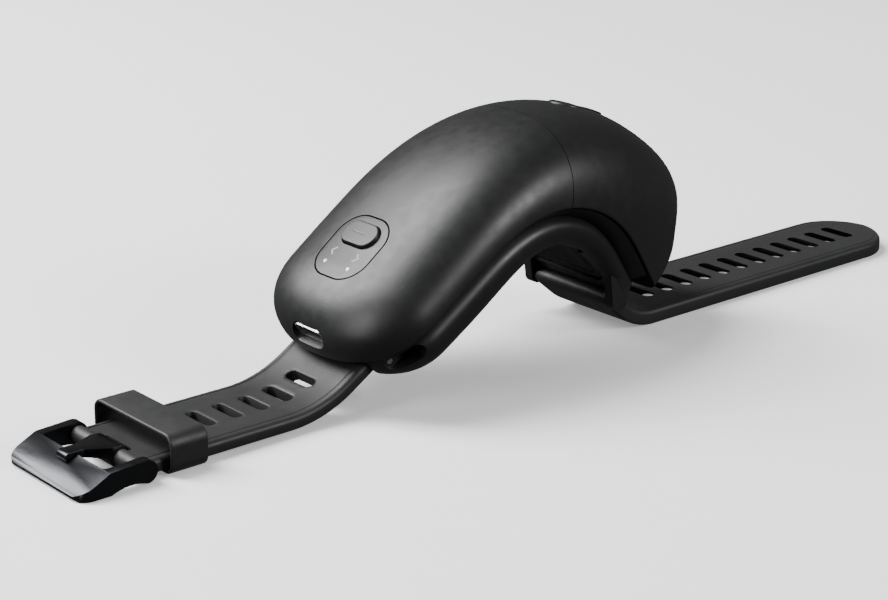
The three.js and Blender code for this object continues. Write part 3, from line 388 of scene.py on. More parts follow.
def extruded(name, outline, start, end):
    """Prism across the strap from an (x, z) outline."""
    loops = [[(x, side, z) for x, z in outline] for side in (start, end)]
    return loft(name, loops)


def cylinder(name, x, z, radius, start, end, chamfer=0.0, sides=48):
    """Round bar across the strap."""
    turns = np.linspace(0, 2 * pi, sides, endpoint=False)
    profile = [(start + chamfer, radius), (end - chamfer, radius)]
    if chamfer:
        profile = [(start, radius - chamfer), *profile, (end, radius - chamfer)]
    return loft(name, [[(x + r * cos(t), y, z + r * sin(t)) for t in turns] for y, r in profile])


# ------------------------------------------------------------------ body surface to seat parts on
def dome_loop(at, inset=0.0, skirt=0.0, sides=120):
    """Section of the covers: a rounded rim at the parting line, or straight walls down to a skirt."""
    half, tall = (float(v) for v in dome_size(np.array(at), inset))
    turns = np.linspace(0, pi, sides + 1)
    side, up = half * bend(np.cos(turns), DOME_POWER), tall * bend(np.sin(turns), DOME_POWER)
    up[[0, -1]] = 0
    if skirt:
        side, up = np.append(side, [-half, half]), np.append(up, [-skirt, -skirt])
        return on_frame(at, side, up)
    # Points lower than the rim's rounding are gathered at the rounding's upper ends.
    r = min(RIM_ROUND, half / 3, tall / 3)
    keep = up > r
    corner = np.linspace(0, pi / 2, 5)
    right = [(half - r + r * cos(c), r - r * sin(c)) for c in corner[::-1]]
    left = [(-s, u) for s, u in right[::-1]]
    side = np.concatenate([[s for s, _ in right], np.where(keep, side, np.nan), [s for s, _ in left]])
    up = np.concatenate([[u for _, u in right], np.where(keep, up, np.nan), [u for _, u in left]])
    lost = np.isnan(side)
    half_way = len(side) // 2
    fill = np.arange(len(side))
    side[lost & (fill < half_way)], up[lost & (fill < half_way)] = right[-1]
    side[lost & (fill >= half_way)], up[lost & (fill >= half_way)] = left[0]
    return on_frame(at, side, up)


def dome_solid(name, start, end, inset=0.0, skirt=0.0):
    heel = end >= BODY_LENGTH
    stop = BODY_LENGTH - HEEL_ROUND if heel else end
    rows = list(body_rows(start, stop, inset))
    if heel:
        rows += [stop + HEEL_ROUND * sin(t) for t in np.linspace(0, pi / 2, 14)[1:]]
    return loft(name, [dome_loop(at, inset, skirt) for at in rows])


def tray_loop(at, inset=0.0, top=-GAP, sides=36):
    """Section of the lower housing: a flare under the cover, a bulging side and a flat underside."""
    half, tall = (float(v) for v in tray_size(np.array(at), inset))
    share, nose = at / BODY_LENGTH, float(nose_closing(at, NOSE_STEP + inset))
    band = float(through(BAND, share)) * nose
    rim = half if inset > 0 else (float(through(HALF_WIDTH, share)) - GAP) * nose
    widest = band + (tall - band) * TRAY_BULGE
    turns = np.concatenate([np.linspace(-TRAY_TUCK, 0, 15)[:-1], np.linspace(0, pi / 2, sides + 1)])
    out = half * (TRAY_FLAT + (1 - TRAY_FLAT) * bend(np.cos(turns), TRAY_POWER))
    room = np.where(turns < 0, (widest - band) / bend(sin(TRAY_TUCK), TRAY_POWER), tall - widest)
    down = -widest - room * bend(np.sin(turns), TRAY_POWER)
    flat = np.linspace(-1, 1, 13)[1:-1] * half * TRAY_FLAT
    # The flare's upper edge lies where its slope crosses the top height.
    slope = (rim - out[0]) / max(-down[0], 1e-6)
    edge = (rim + slope * min(top, 0), top)
    side = np.concatenate([[-edge[0]], -out, flat, out[::-1], [edge[0]]])
    return on_frame(at, side, np.concatenate([[top], np.minimum(down, top), np.full(len(flat), -tall),
                                              np.minimum(down, top)[::-1], [top]]))


def tray_solid(name, start, end, inset=0.0, top=-GAP):
    return loft(name, [tray_loop(at, inset, top) for at in body_rows(start, end, NOSE_STEP + inset)])


def collar(name, half_at, start, end, low, high):
    """Straight-sided band along the parting line, as wide as half_at says."""
    loops = []
    for at in body_rows(start - 0.01, end, start)[1:]:
        half = float(half_at(np.array(at)))
        loops.append(on_frame(at, np.array([half, half, -half, -half]), np.array([low, high, high, low])))
    return loft(name, loops)


def lip():
    """Rim of the lower housing that stands up inside the covers."""
    outer_start, inner_start = WALL + GAP, NOSE_STEP + LIP_WALL
    outer = collar("lip", lambda at: dome_size(at, outer_start)[0], outer_start, TRAY_END - WALL,
                   low=-0.8, high=LIP_HEIGHT)
    inner = collar("cut", lambda at: tray_size(at, LIP_WALL)[0], inner_start, TRAY_END,
                   low=-3, high=LIP_HEIGHT + 1)
    return carve(outer, inner)


_surface = dome_solid("surface", 0, BODY_LENGTH)
_tree = BVHTree.FromPolygons([v.co / MM - Vector((SHIFT, 0, 0)) for v in _surface.data.vertices],
                             [p.vertices for p in _surface.data.polygons])
bpy.data.objects.remove(_surface)
ABOVE_DOME = 45


def surface_height(at, outline):
    """Height of the dome over each outline point, in the frame at one place on the line."""
    matrix = frame_at(at)
    down = matrix.to_3x3() @ Vector((0, 0, -1))
    heights = []
    for x, y in outline:
        hit = _tree.ray_cast(matrix @ Vector((x, y, ABOVE_DOME)), down)
        heights.append((matrix.inverted() @ hit[0]).z)
    return np.array(heights)


def cap(name, opening, by, rise, depth, edge, ledge=None, dish=0.0):
    """Piece let into the dome: its top follows the surface and its edge is rounded."""
    def ring(inset, height):
        outline = grown(opening, by - inset)
        return outline, surface_height(opening["at"], outline) + height
    rings = []
    if ledge:
        rings += [ring(-ledge["rim"], -ledge["end"]), ring(-ledge["rim"], -ledge["start"]),
                  ring(0, -ledge["start"])]
    else:
        rings.append(ring(0, -depth))
    for turn in np.linspace(0, pi / 2, 7):
        rings.append(ring(edge * (1 - cos(turn)), rise - edge * (1 - sin(turn))))
    reach = min(opening["length"], opening["width"]) / 2 + by
    for inset in np.linspace(edge, reach * 0.98, 12)[1:]:
        share = (inset - edge) / (reach - edge)
        rings.append(ring(inset, rise - dish * sin(share * pi / 2) ** 1.4))
    return stack(name, frame_at(opening["at"]), rings)


# ------------------------------------------------------------------ pod shells
def columns(name, places, radius, low, high):
    """Round columns that stand on the parting line at (along, side) places."""
    turns = np.linspace(0, 2 * pi, 24, endpoint=False)
    pieces = []
    for at, side in places:
        outline = np.array([(radius * cos(t), side + radius * sin(t)) for t in turns])
        pieces.append(prism(name, frame_at(at), outline, low, high))
    return pieces


def port_prism(name, by, start, end):
    """The port's outline, offset outwards, from one place to another along the straight ramp."""
    outline = rounded(PORT["width"] + 2 * by, PORT["thickness"] + 2 * by, PORT["thickness"] / 2 + by)
    loops = [np.column_stack([np.full(len(outline), x), outline]) + (0, 0, PORT_HEIGHT) for x in (start, end)]
    return loft(name, [placed(frame_at(0), loop) for loop in loops])


def front_cover():
    end = SEAM_AT - SEAM_LINE / 2
    cover = dome_solid("front_cover_shell", 0, end)
    return carve(cover, dome_solid("cut", 0, end + 3, WALL, 1),
                 prism("cut", frame_at(PLATE["at"]), grown(PLATE, GAP), low=2, high=30),
                 port_prism("cut", GAP, start=-5, end=PORT["length"]))


def rear_cover():
    cover = dome_solid("rear_cover_shell", SEAM_AT + SEAM_LINE / 2, BODY_LENGTH)
    inner = dome_solid("cut", SEAM_AT - 3, TRAY_END - WALL, WALL, 1)
    window = grown(MENU_BUTTON, BEZEL_RIM + GAP)
    return carve(cover, inner, prism("cut", frame_at(MENU_BUTTON["at"]), window, low=8, high=40))


def root_room(pivot, spec):
    """Space that a strap's root needs: everything under its top face."""
    side, slope = spec["side"], spec["slope"]
    over, behind = spec["thick"] / 2 + GAP, spec["thick"] / 2 + ROOT_BEHIND
    points = [(over * sin(slope), over * cos(slope)),
              (over * sin(slope) + ROOT_REACH * cos(slope), over * cos(slope) - ROOT_REACH * sin(slope)),
              (ROOT_REACH, -ROOT_REACH), (-behind, -ROOT_REACH), (-behind, 0),
              (-behind * 0.93, behind * 0.42), (-behind * 0.7, behind * 0.75), (-behind * 0.4, behind * 0.95),
              (-behind * 0.15, over * 1.02)]
    outline = [(pivot[0] + side * u, pivot[2] + z) for u, z in points]
    half = STRAP_WIDTH / 2 + GAP
    return extruded("cut", outline, -half, half)


def heel_lug(side):
    """Lug beside the strap's root, from the tray's side down round the heel's spring bar."""
    near, far = (on_frame(TRAY_END - back, 0, -LUG_TOP) for back in LUG_ROOT)
    arc = [(HEEL_PIVOT[0] + LUG_RADIUS * cos(t), HEEL_PIVOT[2] + LUG_RADIUS * sin(t))
           for t in np.linspace(0, -pi, 24)]
    start = side * (STRAP_WIDTH / 2 + GAP)
    return extruded("lug", [(near[0], near[2]), (far[0], far[2])] + arc, start, start + side * LUG_WALL)


def lower_housing():
    """Tray with its lip, the straps' roots cut free, heel lugs, bores, tool slots, screw wells, pad seat."""
    housing = tray_solid("housing_tray", 0, TRAY_END)
    carve(housing, tray_solid("cut", NOSE_BLOCK, TRAY_END - WALL, TRAY_WALL, top=2))
    combine(housing, [lip()], "UNION")
    carve(housing, root_room(NOSE_PIVOT, BUCKLE), root_room(HEEL_PIVOT, TAIL))
    combine(housing, [heel_lug(1), heel_lug(-1)], "UNION")
    reach, heel_reach = (STRAP_WIDTH / 2 + GAP + BAR_REACH[end] + PIVOT_GAP for end in ("nose", "heel"))
    cuts = [cylinder("cut", p[0], p[2], BAR_RADIUS + PIVOT_GAP, -half, half)
            for p, half in ((NOSE_PIVOT, reach), (HEEL_PIVOT, heel_reach))]
    tilt = Matrix.Translation(Vector(NOSE_PIVOT)) @ frame_at(0).to_3x3().to_4x4()
    tilt = tilt @ Matrix.Translation((ACCESS["ahead"], 0, 0)) @ Matrix.Rotation(pi / 2, 4, "X")
    slot = rounded(ACCESS["length"], ACCESS["width"], ACCESS["width"] / 2)
    cuts += [prism("cut", tilt, slot, low=reach - PIVOT_GAP, high=30),
             prism("cut", tilt, slot, low=-30, high=PIVOT_GAP - reach)]
    places = [(at, s * side) for at, side in SCREW_SEATS for s in (1, -1)]
    cuts += columns("cut", places, SCREW_RADIUS, low=-30, high=-4)
    carve(housing, *cuts)
    return carve(housing, pad_seat())


def tray_depth_at(at, side, inset):
    """Height of the tray's underside, inset into its wall, at places along and across it."""
    half, tall = tray_size(at, inset)
    band = through(BAND, at / BODY_LENGTH)
    widest = band + (tall - band) * TRAY_BULGE
    corner = np.clip((np.abs(side / half) - TRAY_FLAT) / (1 - TRAY_FLAT), 0, 1)
    inside = 1 - corner ** TRAY_POWER
    return -widest - (tall - widest) * inside ** (1 / TRAY_POWER)


def pad_rings(grow, profile, corner):
    """Rings of (at, side, up) on the tray's underside; profile gives (inset from edge, tray inset)."""
    middle, length = (PAD["start"] + PAD["end"]) / 2, PAD["end"] - PAD["start"]
    rings = []
    for edge, inset in profile:
        by = grow - edge
        outline = rounded(length + 2 * by, 2 * (PAD["half"] + by), corner + by, arc=12, straight=30)
        at, side = middle + outline[:, 0], outline[:, 1]
        rings.append(on_frame(at, side, tray_depth_at(at, side, inset)))
    return rings


def ring_solid(name, rings):
    """Solid from rings whose first and last have narrowed to a line."""
    count = len(rings[0])
    faces = loft_faces(len(rings), count)
    points = np.concatenate(rings)
    for start in (0, (len(rings) - 1) * count):
        # The two sides of the line are stitched together.
        for j in range(count // 2):
            a, b = start + j, start + j + 1
            c, d = start + (count - j - 1) % count, start + (count - j) % count
            faces.append((a, b, c, d) if a != d else (a, b, c))
    return new_piece(name, points, faces)


def pad_seat():
    """Cutter for the pad's seat, out to well under the tray."""
    shape = [(edge, PAD["seat"]) for edge in (PAD["half"] * 0.97, 8, 4, 2, 0)]
    shape += [(edge, -4) for edge in (0, 2, 8)]
    return ring_solid("cut", pad_rings(GAP, shape, PAD["corner"]))


def wrist_pad():
    """Pad with a rounded edge and a fine groove just inside it."""
    back, face, edge = PAD["seat"] - GAP, PAD["sunk"], 0.25
    profile = [(e, back) for e in (11.2, 9, 6, 3, 1, 0)]
    profile += [(edge * (1 - cos(t)), face + edge * (1 - sin(t))) for t in np.linspace(0, pi / 2, 6)]
    profile += [(e, face) for e in (1.0, 1.7)] + [(1.8, face + 0.2), (2.1, face + 0.2), (2.2, face)]
    profile += [(e, face) for e in (3, 4, 5, 6.5, 8, 9.5, 10.4, 11.2)]
    return ring_solid("wrist_pad_skin", pad_rings(0, profile, PAD["corner"]))


# ------------------------------------------------------------------ straps
def strap_line(pivot, spec):
    """Middle line of a strap half: from the pivot down the root, round the bend and along the flat."""
    drop = pivot[2] - spec["middle"]
    straight = (drop - spec["bend"] * (1 - cos(spec["slope"]))) / sin(spec["slope"])
    flat_start = straight * cos(spec["slope"]) + spec["bend"] * sin(spec["slope"])
    total = straight + spec["bend"] * spec["slope"] + spec["flat"]

    def at(distance):
        """Place (out from the pivot, height, slope) on the line."""
        if distance < straight:
            return distance * cos(spec["slope"]), pivot[2] - distance * sin(spec["slope"]), spec["slope"]
        turned = spec["slope"] - (distance - straight) / spec["bend"]
        if turned > 0:
            return (flat_start - spec["bend"] * sin(turned),
                    spec["middle"] + spec["bend"] * (1 - cos(turned)), turned)
        return flat_start + distance - straight - spec["bend"] * spec["slope"], spec["middle"], 0.0
    return dict(at=at, total=total, flat_start=flat_start)


def strap_section(thick):
    """Rounded top edges, with a fine groove beside the bead along each of them."""
    half, t = STRAP_WIDTH / 2, thick / 2
    right = [(half - LOW_EDGE * (1 - sin(turn)), -t + LOW_EDGE * (1 - cos(turn)))
             for turn in np.linspace(0, pi / 2, 6)]
    right += [(half - TOP_EDGE * (1 - cos(turn)), t - TOP_EDGE * (1 - sin(turn)))
              for turn in np.linspace(0, pi / 2, 9)]
    groove = half - TOP_EDGE - GROOVE_FROM_EDGE
    right += [(groove - inward, t - deep) for inward, deep in GROOVE]
    inner = right[-1][0]
    top = [(v, t) for v in np.linspace(inner, -inner, 16)[1:-1]]
    left = [(-s, u) for s, u in right[::-1]]
    bottom = [(v, -t) for v in np.linspace(left[-1][0], right[0][0], 16)[1:-1]]
    return np.array(right + top + left + bottom)


def strap_body(name, pivot, spec, path, round_tip):
    """Strap half with a round root; its far end is a half disc in plan, or round like the root."""
    section, half, tip = strap_section(spec["thick"]), STRAP_WIDTH / 2, path["total"]
    quarter = np.linspace(-pi / 2, 0, 8)
    # Each row: distance along the strap, shares of its width and thickness, push past that place.
    rows = [(0, 1.0, cos(turn), sin(turn) * spec["thick"] / 2) for turn in quarter[:-1]]
    along = np.linspace(0, tip, ceil(tip / STRAP_STEP) + 1)
    if round_tip:
        rows += [(distance, 1.0, 1.0, 0.0) for distance in along if distance <= tip - half]
        rows += [(tip - half + half * sin(turn), max(cos(turn), THINNEST), 1.0, 0.0)
                 for turn in np.linspace(0, pi / 2, 34)[1:]]
    else:
        rows += [(distance, 1.0, 1.0, 0.0) for distance in along]
        rows += [(tip, 1.0, cos(turn), -sin(turn) * spec["thick"] / 2) for turn in quarter[::-1][1:]]
    loops = []
    for distance, narrow, thin, push in rows:
        x, z, angle = path["at"](distance)
        width, up = section[:, 0], section[:, 1] * max(thin, THINNEST)
        if narrow < 1:
            # The bead keeps its size round the tip, so only the flat between the edges narrows.
            width = np.sign(width) * np.maximum(np.abs(width) - half * (1 - narrow), 0)
        u = x + push * cos(angle) + up * sin(angle)
        w = z - push * sin(angle) + up * cos(angle)
        loops.append(np.column_stack([pivot[0] + spec["side"] * u, width, w]))
    return loft(name, loops)


def slot_cutter(pivot, spec, path, distance):
    """Cutter for a slot across the strap, flared where it meets each face."""
    x, z, angle = path["at"](distance)
    t, rim, past = spec["thick"] / 2, SLOT_RIM, 0.6
    matrix = Matrix.Translation((pivot[0] + spec["side"] * x, 0, z))
    matrix = matrix @ Matrix.Rotation(spec["side"] * angle, 4, "Y")
    profile = [(-t - past, rim + past), (-t + rim, 0), (t - rim, 0), (t - rim * 0.35, rim * 0.3), (t, rim),
               (t + past, rim + 1.0)]
    rings = [(rounded(SLOT_WIDTH + 2 * by, SLOT_LENGTH + 2 * by, SLOT_WIDTH / 2 - 0.05 + by), height)
             for height, by in profile]
    return stack("cut", matrix, rings)


def merged(pieces):
    """One cutter from several that don't touch."""
    build = bmesh.new()
    for piece in pieces:
        build.from_mesh(piece.data)
        bpy.data.objects.remove(piece)
    mesh = bpy.data.meshes.new("cut")
    build.to_mesh(mesh)
    build.free()
    out = bpy.data.objects.new("cut", mesh)
    bpy.context.scene.collection.objects.link(out)
    return out


TAIL_PATH = strap_line(HEEL_PIVOT, TAIL)
BUCKLE_PATH = strap_line(NOSE_PIVOT, BUCKLE)
PIN_X = NOSE_PIVOT[0] - BUCKLE_PATH["flat_start"] - BUCKLE["flat"]
PIN_Z = BUCKLE["middle"] - BUCKLE["thick"] / 2 + PIN_EYE
# Cutters for the strap and buckle reach this far to the sides, and between these heights.
ASIDE = 20
UNDER, OVER = -3, 20


def tail_strap():
    strap = strap_body("tail_strap_band", HEEL_PIVOT, TAIL, TAIL_PATH, round_tip=True)
    count = int((TAIL["flat"] - TIP_TO_SLOT - SLOT_WIDTH) // SLOT_PITCH) + 1
    slots = [slot_cutter(HEEL_PIVOT, TAIL, TAIL_PATH, TAIL_PATH["total"] - TIP_TO_SLOT - i * SLOT_PITCH)
             for i in range(count)]
    bore = cylinder("cut", HEEL_PIVOT[0], HEEL_PIVOT[2], BAR_RADIUS + PIVOT_GAP, -ASIDE, ASIDE)
    return carve(strap, merged(slots), bore)


def block(x0, x1, y0, y1, z0=UNDER, corner=0.6):
    """Cutter with upright edges rounded, open to everything over its floor."""
    outline = rounded(x1 - x0, y1 - y0, corner)
    return prism("cut", Matrix.Translation(((x0 + x1) / 2, (y0 + y1) / 2, 0)), outline, z0, OVER)


def buckle_strap():
    strap = strap_body("buckle_strap_band", NOSE_PIVOT, BUCKLE, BUCKLE_PATH, round_tip=False)
    slots = [slot_cutter(NOSE_PIVOT, BUCKLE, BUCKLE_PATH, ROOT_TO_SLOT + i * SLOT_PITCH)
             for i in range(BUCKLE_SLOTS)]
    eye_half = STRAP_WIDTH / 2 - 0.2
    combine(strap, [cylinder("eye", PIN_X, PIN_Z, PIN_EYE, -eye_half, eye_half, 0.5)], "UNION")
    arm = PIN_X + ARM_RADIUS + GAP
    inner = BUCKLE_WIDTH / 2 - BUCKLE_ARM - GAP
    tang = TANG["base"] / 2 + GAP
    past_end = PIN_X - 9
    cuts = [block(past_end, arm, inner, ASIDE), block(past_end, arm, -ASIDE, -inner),
            block(past_end, PIN_X + TANG["hub"] + GAP, -tang, tang)]
    bores = [cylinder("cut", NOSE_PIVOT[0], NOSE_PIVOT[2], BAR_RADIUS + PIVOT_GAP, -ASIDE, ASIDE),
             cylinder("cut", PIN_X, PIN_Z, PIN_RADIUS + PIVOT_GAP, -ASIDE, ASIDE)]
    return carve(strap, merged(slots), *cuts, *bores)


def keeper_loop():
    """Band round the strap with every edge rounded."""
    wall, length, edge = KEEPER["wall"], KEEPER["length"], KEEPER["edge"]
    width, height = STRAP_WIDTH + 2 * KEEPER["room"], KEEPER["height"]
    start, middle = PIN_X + KEEPER["start"], KEEPER["height"] / 2 + wall
    turns = np.linspace(0, pi / 2, 6)
    # The band's section, as (out from its opening, along the strap).
    profile = [(edge * (1 - cos(t)), edge * (1 - sin(t))) for t in turns]
    profile += [(wall - edge * (1 - sin(t)), edge * (1 - cos(t))) for t in turns]
    profile += [(out, length - along) for out, along in profile[::-1]]
    loops = []
    for out, along in profile:
        corner = KEEPER["corner"] - wall + out
        outline = rounded(width + 2 * out, height + 2 * out, corner, arc=16, straight=10)
        loops.append([(start + along, y, middle + z) for y, z in outline])
    return torus("keeper_band", loops)


def bevelled(piece, width, segments=3):
    """Rounded edges on a piece with flat faces."""
    build = bmesh.new()
    build.from_mesh(piece.data)
    bmesh.ops.remove_doubles(build, verts=build.verts, dist=WELD)
    bmesh.ops.dissolve_limit(build, angle_limit=radians(1), verts=build.verts, edges=build.edges)
    edges = [e for e in build.edges if len(e.link_faces) == 2 and e.calc_face_angle(0) > radians(28)]
    bmesh.ops.bevel(build, geom=edges, offset=width * MM, segments=segments, profile=0.5, affect="EDGES",
                    clamp_overlap=True)
    build.to_mesh(piece.data)
    build.free()
    soften(piece, 40)
    return piece


BUCKLE_EDGE = PIN_X - BUCKLE_REACH
PLATE_BACK = BUCKLE_EDGE + PLATE_DEPTH


def curve(start, control, end, steps=8):
    """Points after the start of a curve that leaves and arrives along the lines to its control point."""
    return [tuple((1 - t) ** 2 * a + 2 * t * (1 - t) * b + t * t * c for a, b, c in zip(start, control, end))
            for t in np.linspace(0, 1, steps + 1)[1:]]


def buckle_frame():
    """Side outline run across, trimmed to its plan, then opened for the strap, tongue and pin."""
    side = [(BUCKLE_EDGE + 0.6, 0), (PLATE_BACK, 0)]
    side += curve(side[-1], ((PLATE_BACK + PIN_X) / 2, 1.6), (PIN_X, PIN_Z - ARM_RADIUS))
    side += [(PIN_X + ARM_RADIUS * cos(t), PIN_Z + ARM_RADIUS * sin(t))
             for t in np.linspace(-pi / 2, pi / 2, 17)[1:]]
    side += [(PLATE_BACK, BUCKLE_TOP), (BUCKLE_EDGE + 0.5, BUCKLE_FRONT), (BUCKLE_EDGE, BUCKLE_FRONT - 0.5),
             (BUCKLE_EDGE, 0.4)]
    half = BUCKLE_WIDTH / 2
    piece = extruded("buckle_frame_metal", side, -half, half)
    length = BUCKLE_REACH + 2 * BUCKLE_CORNER + ARM_RADIUS
    plan = prism("cut", Matrix.Translation((BUCKLE_EDGE + length / 2, 0, 0)),
                 rounded(length, BUCKLE_WIDTH, BUCKLE_CORNER, arc=9, straight=0), UNDER, OVER)
    combine(piece, [plan], "INTERSECT")
    inner = half - BUCKLE_ARM
    reach = PIN_X + ARM_RADIUS + 3
    window = prism("cut", Matrix.Translation(((PLATE_BACK + reach) / 2, 0, 0)),
                   rounded(reach - PLATE_BACK, 2 * inner, 0.9, arc=5, straight=0), UNDER, OVER)
    notch_half = TANG["tip"] / 2 + GAP
    notch = block(PLATE_BACK - TANG["hook"] - GAP, PLATE_BACK + 1, -notch_half, notch_half,
                  BUCKLE_TOP - TANG["notch"], corner=0.3)
    blind = half - PIN_COVER
    bore = cylinder("cut", PIN_X, PIN_Z, PIN_RADIUS + PIVOT_GAP, -blind, blind, sides=24)
    carve(piece, window, notch, bore)
    return bevelled(piece, 0.22)


def buckle_tongue():
    """Tongue round the pin that tapers to a tip resting in the frame's notch."""
    low = BUCKLE_TOP - TANG["notch"] + PIVOT_GAP
    high, tip_x = low + TANG["thickness"], PLATE_BACK - TANG["hook"]
    side = [(PIN_X, PIN_Z + TANG["hub"]), (PLATE_BACK + 0.6, high), (tip_x + 1, high)]
    side += curve(side[-1], (tip_x, high), (tip_x, low + 0.4), 6)
    side += [(tip_x + 0.2, low), (PLATE_BACK, low), (PIN_X - 1, PIN_Z), (PIN_X, PIN_Z)]
    base, tip = TANG["base"] / 2, TANG["tip"] / 2
    piece = extruded("tongue_metal", side, -base, base)
    combine(piece, [cylinder("hub", PIN_X, PIN_Z, TANG["hub"], -base, base)], "UNION")
    plan = [(PIN_X + TANG["hub"] + 1, -base), (PIN_X + TANG["hub"] + 1, base), (PIN_X - 1.5, base),
            (PLATE_BACK + 1.5, tip), (tip_x - 1, tip), (tip_x - 1, -tip), (PLATE_BACK + 1.5, -tip),
            (PIN_X - 1.5, -base)]
    combine(piece, [prism("cut", Matrix(), np.array(plan), UNDER, OVER)], "INTERSECT")
    carve(piece, cylinder("cut", PIN_X, PIN_Z, PIN_RADIUS + PIVOT_GAP, -base - 1, base + 1, sides=24))
    return bevelled(piece, 0.16)


# ------------------------------------------------------------------ buttons, plate and lights
GUIDES = [(GUIDE_AT, side * GUIDE_SPACING / 2) for side in (-1, 1)]


def switch_plate():
    plate = cap("plate_skin", PLATE, 0, 0, PLATE_THICKNESS, 0.08)
    return carve(plate, prism("cut", frame_at(POWER_BUTTON["at"]), grown(POWER_BUTTON, GAP), low=2, high=30),
                 *columns("cut", GUIDES, GUIDE_RADIUS + PIVOT_GAP, low=2, high=30))


def menu_bezel():
    rim = cap("bezel_rim", MENU_BUTTON, BEZEL_RIM, BEZEL_RISE, BEZEL_DEPTH, 0.3)
    return carve(rim, prism("cut", frame_at(MENU_BUTTON["at"]), grown(MENU_BUTTON, GAP), low=5, high=40))


def light_guide(name, side):
    """Clear rod through the plate, flush with its face; its lens finish gives it a painted glow."""
    turn = np.linspace(0, 2 * pi, 32, endpoint=False)
    rings = []
    for share, drop in ((1, PLATE_THICKNESS + 0.5), (1, 0.06), (0.9, 0), (0.5, 0)):
        radius = GUIDE_RADIUS * share
        outline = np.column_stack([radius * np.cos(turn), side + radius * np.sin(turn)])
        rings.append((outline, surface_height(GUIDE_AT, outline) - drop))
    return stack(name, frame_at(GUIDE_AT), rings)


def stroke(name, points, width=0.34, proud=0.015, sunk=0.05):
    """Printed line on the plate: a thin ribbon that follows the surface."""
    points = [np.array(p, float) for p in points]
    sides = []
    for i, point in enumerate(points):
        before, after = points[max(i - 1, 0)], points[min(i + 1, len(points) - 1)]
        along = (after - before) / np.linalg.norm(after - before)
        normal = np.array([-along[1], along[0]])
        # The ribbon keeps its width round a corner, so its edge points stand out by the corner's lean.
        lean = 1.0
        if 0 < i < len(points) - 1:
            first = (point - before) / np.linalg.norm(point - before)
            lean = 1 / max(abs(np.dot(normal, [-first[1], first[0]])), 0.5)
        sides.append((point + normal * lean * width / 2, point - normal * lean * width / 2))
    outline = np.array([a for a, _ in sides] + [b for _, b in sides[::-1]])
    matrix, count = frame_at(PLATE["at"]), len(sides)
    heights = surface_height(PLATE["at"], outline)
    top = placed(matrix, np.column_stack([outline, heights + proud]))
    low = placed(matrix, np.column_stack([outline, heights - sunk]))
    total = len(outline)
    faces = [(i, i + 1, total - 2 - i, total - 1 - i) for i in range(count - 1)]
    faces += [tuple(total + v for v in face[::-1]) for face in faces]
    faces += [(i, (i + 1) % total, total + (i + 1) % total, total + i) for i in range(total)]
    return new_piece(name, np.vstack([top, low]), faces)


# ------------------------------------------------------------------ materials
BUMP_DEPTH = 0.00003
BROAD_SIZE = 11.0
ROUGH_SIZE = 2.4
SCRATCH_SIZE = 0.9


def shader(name, base, rough, metallic=0.0, grain=0.5, grain_size=0.25, speckle=0.1, blotch=0.06,
           rough_spread=0.05, scuff=0.0, stretch=(1, 1, 1), coat=0.0, sheen=0.0, glow=0.0, ior=1.5):
    """Procedural finish. Sizes are in millimetres in the object's own space."""
    material = bpy.data.materials.new(name)
    material.use_nodes = True
    tree = material.node_tree
    principled = tree.nodes["Principled BSDF"]
    link = tree.links.new

    def add(kind, **values):
        item = tree.nodes.new("ShaderNode" + kind)
        for key, value in values.items():
            if key in item.inputs:
                item.inputs[key].default_value = value
            else:
                setattr(item, key, value)
        return item

    place = add("TexCoord")
    scaled = add("Mapping", Scale=tuple(1000 * v for v in stretch))
    link(place.outputs["Object"], scaled.inputs["Vector"])

    def noise(size, detail=3.0, roughness=0.55):
        item = add("TexNoise", Scale=1 / size, Detail=detail, Roughness=roughness)
        link(scaled.outputs["Vector"], item.inputs["Vector"])
        return item.outputs["Fac"]

    def spread(source, low, high, start=0.25, end=0.75):
        item = add("MapRange")
        link(source, item.inputs["Value"])
        for key, value in (("From Min", start), ("From Max", end), ("To Min", low), ("To Max", high)):
            item.inputs[key].default_value = value
        return item.outputs["Result"]

    def product(a, b):
        item = add("Math", operation="MULTIPLY")
        link(a, item.inputs[0])
        link(b, item.inputs[1])
        return item.outputs["Value"]

    fine, broad = noise(grain_size, 4.0, 0.6), noise(BROAD_SIZE, 2.0)
    tone = product(spread(fine, 1 - speckle, 1 + speckle), spread(broad, 1 - blotch, 1 + blotch))
    roughness = spread(noise(ROUGH_SIZE, 4.0), rough - rough_spread, rough + rough_spread)
    if scuff:
        scratches = spread(noise(SCRATCH_SIZE, 6.0, 0.7), 0, scuff, 0.62, 0.72)
        lighter = add("Math", operation="ADD")
        link(tone, lighter.inputs[0])
        link(scratches, lighter.inputs[1])
        tone = lighter.outputs["Value"]
    colour = add("VectorMath", operation="SCALE")
    colour.inputs[0].default_value = base
    link(tone, colour.inputs["Scale"])
    link(colour.outputs["Vector"], principled.inputs["Base Color"])
    link(roughness, principled.inputs["Roughness"])
    bump = add("Bump", Strength=grain, Distance=BUMP_DEPTH)
    link(fine, bump.inputs["Height"])
    link(bump.outputs["Normal"], principled.inputs["Normal"])
    principled.inputs["Metallic"].default_value = metallic
    principled.inputs["IOR"].default_value = ior
    principled.inputs["Coat Weight"].default_value = coat
    principled.inputs["Sheen Weight"].default_value = sheen
    if glow:
        principled.inputs["Emission Color"].default_value = (*base, 1)
        principled.inputs["Emission Strength"].default_value = glow
    return material


